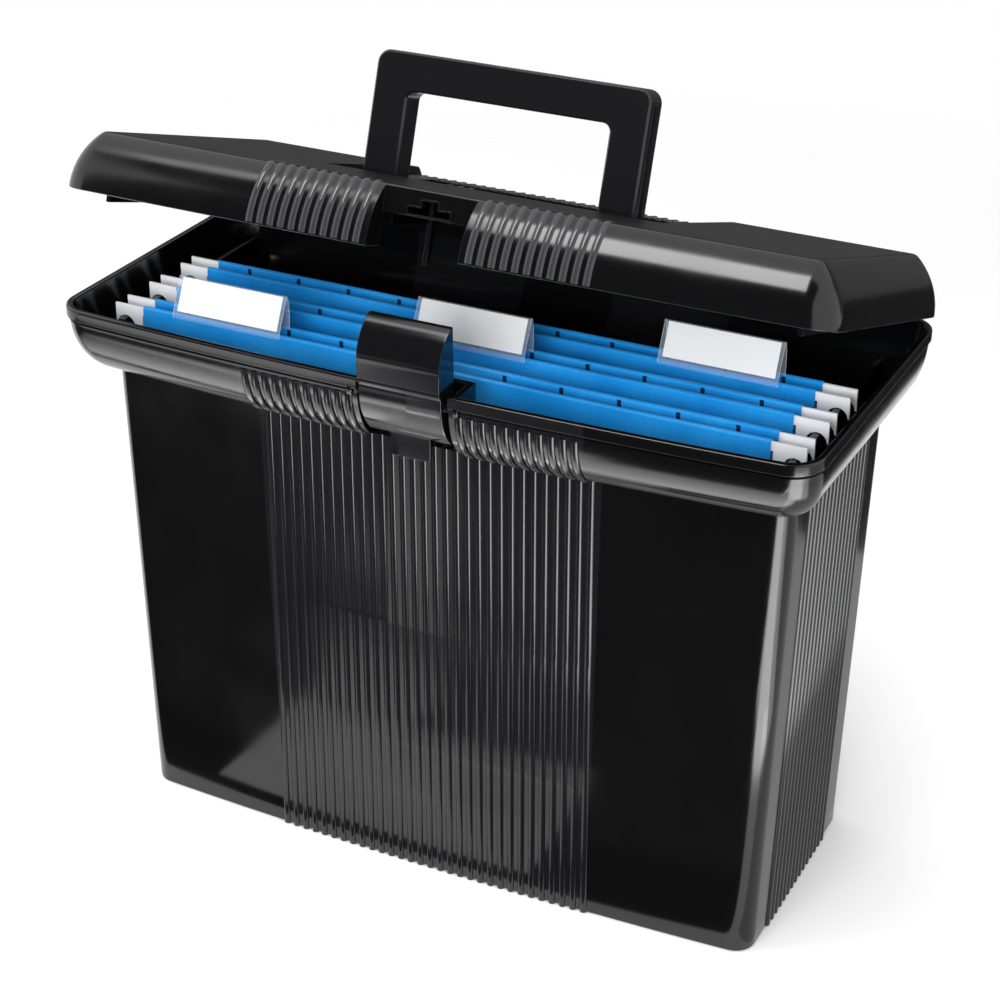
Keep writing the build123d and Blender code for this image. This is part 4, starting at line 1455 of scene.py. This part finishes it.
    def edge_ribs(self) -> bpy.types.Object:
        """Flat ribs over the rolled edge, beside the notch.

        Returns:
            The row of ribs.
        """
        path = []
        for angle in (1.5, 6, 12, 18, 24, 30, 36, 41, 45, 47):
            turn = math.radians(angle)
            inset = self.radius * (1 - math.cos(turn))
            path.append((inset - self.rim.half_d, self.low_z + self.radius * math.sin(turn),
                         -math.cos(turn), math.sin(turn)))
        for rise, by, turn in ((25.05, 11.6, 62), (25.5, 12.5, 75), (25.62, 13.6, 86),
                               (25.62, 15.5, 90)):
            turn = math.radians(turn)
            path.append((by - self.rim.half_d, self.low_z + rise, -math.cos(turn),
                         math.sin(turn)))
        wall = Wall(self.rim.half_w, low_bulge=self.rim.bow, high_bulge=self.rim.bow)
        return ribs(FLAT_RIB.along(path), "lid_edge_ribs", self.paint, wall,
                    pitch=self.pitch, gap=BESIDE_LATCH)

    def recess_ribs(self) -> bpy.types.Object:
        """Low ribs that run back along the handle recess.

        Returns:
            The row of ribs.
        """
        _, front_y, _ = self.recess
        back_y = self.rim.half_d - self.lean * 0.75
        stops = (front_y + 0.1, front_y + 0.4, 30.0, back_y - 0.4, back_y)
        path = [(y, self.recess_z, 0.0, 1.0) for y in stops]
        made = ribs(LOW_RIB.along(path), "lid_recess_ribs", self.paint, pitch=self.pitch)
        carve(made, self.pocket(0.0, self.recess_z - 5))
        return made

    def fittings(self) -> bpy.types.Object:
        """Locating lips, the brace behind the notch and the hinge knuckles.

        Returns:
            All of them as one object.
        """
        shape = Shape()
        drop = self.low_z - self.lip_drop
        ceiling = self.top_z - self.wall + 0.3
        (y, z), (knuckle_x, half_l, radius) = self.hinge, self.knuckle
        for side in (-1, 1):
            shape.block(beside(side, *self.lip), (15 - self.rim.half_d, self.rim.half_d - 21),
                        (drop, ceiling), 0.3)
            span = (side * knuckle_x - half_l, side * knuckle_x + half_l)
            shape.block(span, (self.rim.half_d - 1.8, y), (self.low_z + 0.2, z + radius), 0.25)
            shape.bar(span, y, z, radius)
        inner = self.rim.half_d - 4.6
        shape.block((-self.rim.half_w + 30, self.rim.half_w - 30), (inner - 1.2, inner),
                    (self.low_z - 4.3, self.low_z + 6), 0.3)
        back = self.notch_y + self.wall
        fin = [(back - 0.2, self.catch[1] + 1.7), (back - 0.2, drop), (back + 2.2, drop),
               (back + 8.8, ceiling), (back - 0.2, ceiling)]
        shape.prism(fin, -0.9, 0.9, "X", 0.2)
        wide, low, high, key = self.catch
        slim, line = self.key_half_w, 0.7
        for x, z in (((-wide - line, wide + line), (low - line, low)),
                     ((-wide - line, -wide), (low - line, high + line)),
                     ((wide, wide + line), (low - line, high + line)),
                     ((-wide - line, -slim), (high, high + line)),
                     ((slim, wide + line), (high, high + line)),
                     ((-slim - line, -slim), (high, key + line)),
                     ((slim, slim + line), (high, key + line)),
                     ((-slim - line, slim + line), (key, key + line))):
            shape.block(x, (self.notch_y - 0.35, self.notch_y + 0.3), z, 0.12)
        return shape.to_object("lid_fittings")

    def build(self) -> None:
        """Make every piece of the lid and swing it open."""
        for made in (self.shell(), self.edge_ribs(), self.recess_ribs(), self.fittings()):
            name = made.name
            mark(made, "etched", lambda centre, normal: centre.z > self.top_z - 0.15
                 and normal.z > 0.95)
            if "ribs" in name:
                mark(made, "rib_painted_highlight", lambda centre, normal: True)
            turned = as_shape(made).turn(-math.radians(self.open_angle), self.hinge)
            finish_piece(turned.to_object(name), self.paint, "lid",
                         ("lid",) if name == "lid_shell" else ())


@dataclass
class Latch:
    """The rocking latch: a curved face with cheeks, a ridge, a finger pad and a hook."""

    paint: bpy.types.Material
    half_w: float = 19.0
    wall: float = 2.2
    top_z: float = 277.0
    rim_z: float = 250.0
    face_y: float = -90.1
    back_y: float = -76.3
    tail: Pair = (9.3, 215.0)
    pivot: Pair = (-83.5, 244.0)
    catch: Pair = (266.1, 267.9)
    hook_half_w: float = 8.5
    stub: Pair = (2.0, 3.4)         # radius, and how far it stands out

    def arc(self, start: Pair, middle: Pair, end: Pair, steps: int = 12) -> list[Pair]:
        """Points along the arc through three places.

        Args:
            start: where it starts.
            middle: a place on the way.
            end: where it ends.
            steps: how many parts it is drawn in.

        Returns:
            The points, with both ends.
        """
        (ax, ay), (bx, by), (cx, cy) = start, middle, end
        d = 2 * (ax * (by - cy) + bx * (cy - ay) + cx * (ay - by))
        sizes = (ax * ax + ay * ay, bx * bx + by * by, cx * cx + cy * cy)
        x = (sizes[0] * (by - cy) + sizes[1] * (cy - ay) + sizes[2] * (ay - by)) / d
        y = (sizes[0] * (cx - bx) + sizes[1] * (ax - cx) + sizes[2] * (bx - ax)) / d
        radius = math.hypot(ax - x, ay - y)
        first, last = math.atan2(ay - y, ax - x), math.atan2(cy - y, cx - x)
        swing = (last - first + math.pi) % (2 * math.pi) - math.pi
        return [(x + radius * math.cos(first + swing * i / steps),
                 y + radius * math.sin(first + swing * i / steps))
                for i in range(steps + 1)]

    def face(self) -> list[Pair]:
        """Line of the face from its top edge down to the finger pad, as (y, z).

        Returns:
            The line's points.
        """
        y, z = self.face_y, self.rim_z
        crown = self.arc((y + 10.5, self.top_z - 0.4), (y + 2.6, z + 19.44), (y, z + 9.0))
        ridge = [(y, z + 2.3), (y + 0.35, z + 1.9), (y, z + 1.5), (y + 0.05, z + 0.7),
                 (y + 1.35, z - 0.7), (y + 1.5, z - 1.1)]
        chin = self.arc((y + 1.5, z - 2.8), (y + 3.5, z - 14.0), (y + 10.5, z - 24.5))
        return [(y + 11.3, self.top_z)] + crown + ridge + chin

    def build(self) -> None:
        """Make the latch as one piece."""
        face = self.face()
        back, wall = self.back_y, self.wall
        side = face + [(back - 4, 238.0), (back, self.rim_z + 1), (back - 1, self.top_z)]
        made = Shape().prism(side, -self.half_w, self.half_w, "X", 0.55).to_object("latch_body")
        inner = [(y + wall, z) for y, z in face]
        far = [(back + 9, face[-1][1] - 3), (back + 9, self.top_z + 3),
               (inner[0][0], self.top_z + 3)]
        hollow = Shape().prism(inner[:-1] + [(inner[-1][0], face[-1][1] - 3)] + far,
                               wall - self.half_w, self.half_w - wall, "X")
        carve(made, hollow)
        tail_half, tail_z = self.tail
        end_y = face[-1][0]
        pad = Shape().block((-tail_half, tail_half), (end_y + 0.02, end_y + wall),
                            (tail_z, face[-1][1] + 1.5), 0.4)
        carve(made, pad, "UNION")
        low, high = self.catch
        hook = Shape().block((-self.hook_half_w, self.hook_half_w),
                             (self.face_y + 3.1, self.back_y + 2.6), (low, high), 0.2)
        carve(made, hook, "UNION")
        stubs = Shape()
        for way in (-1, 1):
            span = beside(way, self.half_w - wall - 0.1, self.half_w + self.stub[1])
            stubs.bar(span, *self.pivot, self.stub[0])
        made = join([made, stubs.to_object("stubs")], "latch_body")
        finish_piece(made, self.paint, "latch", ("latch",))


@dataclass
class Folder:
    """A hanging folder: card wrapped over two rods, with a tent-shaped index tab."""

    number: int
    body: str
    centre_y: float
    tab_x: float
    card: bpy.types.Material
    slot_painted_shade: bpy.types.Material
    film: bpy.types.Material
    half_l: float = 147.0
    spread: float = 4.6                                     # from the middle to each rod
    sheet: float = 0.5                                      # thickness of the card
    sleeve: tuple[float, float, float] = (1.25, 239.25, 244.75)    # half width, foot and top
    low_z: float = 6.0
    fold: float = 1.95                                      # radius of the fold
    wave: Pair = (0.09, 23.0)                               # height and length of the ripple
    slot: tuple[float, float, float] = (26.0, 1.9, 3.4)     # pitch, width and height
    tab: tuple[float, float, float] = (27.0, 17.0, 25.0)    # half width, height and lean
    film_t: float = 0.35

    def strip(self, path: list[Pair], thick: float) -> list[Pair]:
        """Outline of a strip that follows a path.

        Args:
            path: the middle of the strip.
            thick: its thickness.

        Returns:
            The outline, along one side and back along the other.
        """
        sides: tuple[list[Pair], list[Pair]] = ([], [])
        for i, (y, z) in enumerate(path):
            before, after = path[max(i - 1, 0)], path[min(i + 1, len(path) - 1)]
            dy, dz = after[0] - before[0], after[1] - before[1]
            size = math.hypot(dy, dz)
            for side, way in zip(sides, (1, -1)):
                side.append((y - way * dz / size * thick / 2, z + way * dy / size * thick / 2))
        return sides[0] + sides[1][::-1]

    def section(self) -> list[Pair]:
        """The card's section: over the front rod, round the fold and over the rear rod.

        Returns:
            The section's outline, as (y, z) from the folder's middle.
        """
        half, low, high = self.sleeve
        radius = half - self.sheet / 2
        top = high - half
        y = -self.spread
        path = [(y - 0.35, low - 1.0), (y + 0.55, low - 0.1), (y + radius, low + 1.0)]
        path += [(y + a, top + b) for a, b in (around(radius, d) for d in range(0, 181, 15))]
        path += [(y - radius, low + 0.5), (y - radius + 0.02, low - 2.0),
                 (-3.2, self.low_z + 40.0), (-2.0, self.low_z + 2.2)]
        path += [(-a, self.low_z + 2.2 - b)
                 for a, b in (around(self.fold, d) for d in range(15, 91, 15))]
        return self.strip(path + [(-a, b) for a, b in reversed(path[:-1])], self.sheet)

    def sheet_piece(self) -> bpy.types.Object:
        """The folded card with the slots that tabs clip into; the slot floors are painted
        shade.

        Returns:
            The card.
        """
        rings = []
        steps = 42
        for i in range(steps + 1):
            x = -self.half_l + 2 * self.half_l * i / steps
            wave = self.wave[0] * math.sin(x / self.wave[1] + self.number * 1.7)
            rings.append([(x, self.centre_y + y, z + (wave if z > 200 else 0.0))
                          for y, z in self.section()])
        made = Shape().skin(rings).to_object(f"folder_{self.number}_card")
        pitch, width, height = self.slot
        face = self.centre_y + self.spread - self.sleeve[0]
        cutter = Shape().block((-width / 2, width / 2), (face - 1.0, face + self.sheet * 0.8),
                               (self.sleeve[2] - 0.9 - height, self.sleeve[2] - 0.9))
        tool = as_shape(ribs(cutter, "slots", self.slot_painted_shade, pitch=pitch,
                             count=2 * int(self.half_l // pitch) + 1))
        for cut in tool.mesh.faces:
            cut.material_index = 1
        for paint in (self.card, self.slot_painted_shade):
            made.data.materials.append(paint)
        carve(made, tool)
        return made

    def tab_piece(self) -> bpy.types.Object:
        """The clear tab: a foot over the card's edge, a leaning face and a rear leg.

        Returns:
            The tab.
        """
        half, tall, lean = self.tab
        turn = math.radians(lean)
        y = self.centre_y - self.spread - self.sleeve[0] - 0.3 - self.film_t / 2
        z = self.sleeve[2] + 0.55
        top = (y + (tall - 0.9) * math.sin(turn), z + (tall - 0.9) * math.cos(turn))
        foot = [(y, z - 2.2), (y, z - 0.5), (y + 0.06, z + 0.1)]
        ridge = [(top[0] + 0.1, top[1] + 0.35), (top[0] + 0.45, top[1] + 0.62),
                 (top[0] + 0.85, top[1] + 0.5), (top[0] + 1.1, top[1] + 0.1)]
        leg = [(top[0] + 1.9, top[1] - 4.0), (top[0] + 2.2, top[1] - 8.0),
               (top[0] + 2.1, top[1] - 12.0), (top[0] + 1.7, z - 0.3)]
        outline = self.strip(foot + [top] + ridge + leg, self.film_t)
        made = Shape().prism(outline, self.tab_x - half, self.tab_x + half, "X", 0.08)
        made = made.to_object(f"folder_{self.number}_film")
        mark(made, "cut_edge", lambda centre, normal: abs(normal.x) > 0.3)
        return made

    def build(self) -> None:
        """Make the card and the tab."""
        name = f"folder_{self.number}"
        finish_piece(self.sheet_piece(), self.card, self.body,
                     (name + "_sheet",), more=(self.slot_painted_shade,))
        finish_piece(self.tab_piece(), self.film, self.body,
                     (name + "_tab",))


def tidy_tree() -> bpy.types.NodeTree:
    """Geometry tree that joins loose triangles and shades gentle turns smooth.

    Returns:
        The tree, with inputs for the merge distance and the sharpest smooth turn.
    """
    tree = new_tree("join_and_shade", Merge_distance="Float", Smooth_angle="Float")
    given = add_node(tree, "NodeGroupInput")
    merged = add_node(tree, "GeometryNodeMergeByDistance", {},
                      {"Geometry": given.outputs["Geometry"],
                       "Distance": given.outputs["Merge distance"]})
    smooth = add_node(tree, "GeometryNodeSetShadeSmooth", {"Shade Smooth": True},
                      {"Geometry": merged.outputs["Geometry"]})
    turn = add_node(tree, "GeometryNodeInputMeshEdgeAngle")
    sharp = add_node(tree, "FunctionNodeCompare", {"operation": "LESS_THAN"},
                     {"A": turn.outputs["Unsigned Angle"],
                      "B": given.outputs["Smooth angle"]})
    edges = add_node(tree, "GeometryNodeSetShadeSmooth", {"domain": "EDGE"},
                     {"Geometry": smooth.outputs["Geometry"],
                      "Shade Smooth": sharp.outputs["Result"]})
    result = add_node(tree, "NodeGroupOutput")
    tree.links.new(edges.outputs["Geometry"], result.inputs["Geometry"])
    return tree


@dataclass
class Dresser:
    """Gives CAD solids their finish, with edges joined and shaded."""

    merge: float = 0.005 * MM
    smooth_angle: float = math.radians(32)
    edge_round: float = 0.3 * MM
    tree: bpy.types.NodeTree = field(default_factory=tidy_tree)

    def join_and_shade(self, solid: bpy.types.Object, name: str) -> None:
        """Add the tidy tree to a solid as a modifier.

        Args:
            solid: the solid.
            name: the modifier's name.
        """
        modifier = solid.modifiers.new(name, "NODES")
        modifier.node_group = self.tree
        set_inputs(modifier, {"Merge distance": self.merge,
                              "Smooth angle": self.smooth_angle})

    def dress(self, node: str, made: bpy.types.Material, shading: Shading) -> None:
        """Finish one CAD solid.

        Args:
            node: the solid's name.
            made: its material.
            shading: how its edges are finished.
        """
        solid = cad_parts[node]
        solid.data.materials.clear()
        solid.data.materials.append(made)
        self.join_and_shade(solid, "join")
        if shading is Shading.MOULDED:
            bevel = solid.modifiers.new("edges", "BEVEL")
            bevel.width = self.edge_round
            bevel.segments = 2
            bevel.limit_method = "ANGLE"
            bevel.angle_limit = self.smooth_angle
            bevel.harden_normals = True
        LOG.info("dressed %s", node)


def main() -> None:
    """Build the studio and every piece of the file box."""
    logging.basicConfig(level=logging.INFO, format="%(message)s")
    Studio().build()
    dresser = Dresser()
    black = "#09090a"
    tub = MouldedPlastic("black_polystyrene_tub", black).material()
    # the lid's ribs get a lighter painted highlight colour than the tub's
    lid = MouldedPlastic("black_polystyrene_lid", black, rib_painted_highlight="#2e2e30").material()
    handle = MouldedPlastic("black_polystyrene_handle", "#141417", roughness=0.16).material()
    latch = MouldedPlastic("black_polystyrene_latch", "#0d0d10", roughness=0.1).material()
    steel = DrawnSteel("drawn_steel_pin").material()
    card = CoatedCard("blue_coated_card", "#0a80cf", "#2797e0").material()
    # painted shade: dark blue for the floors of the tab slots
    slot_painted_shade = CoatedCard("blue_card_in_shade", "#06223f", "#0a2f55").material()
    strip = CoatedStrip("grey_coated_strip").material()
    film = ClearFilm("clear_film").material()
    paper = LabelPaper("white_paper").material()
    body = Tub(tub)
    body.build()
    Lid(lid, body.rim).build()
    Latch(latch).build()
    dresser.dress("handle", handle, Shading.MOULDED)
    for node in ("lid_hinge_pins", "handle_pins"):
        dresser.dress(node, steel, Shading.CUT)
    places = (("folder_front", -47.9, -104.0), ("folder_middle", -21.5, 0.0),
              ("folder_rear", 4.2, 104.0))
    for number, (rides, centre_y, tab_x) in enumerate(places, 1):
        Folder(number, rides, centre_y, tab_x, card, slot_painted_shade, film).build()
        for part, made in (("front_rod", strip), ("rear_rod", strip), ("label", paper)):
            dresser.dress(f"folder_{number}_{part}", made, Shading.CUT)


if __name__ == "__main__":
    main()
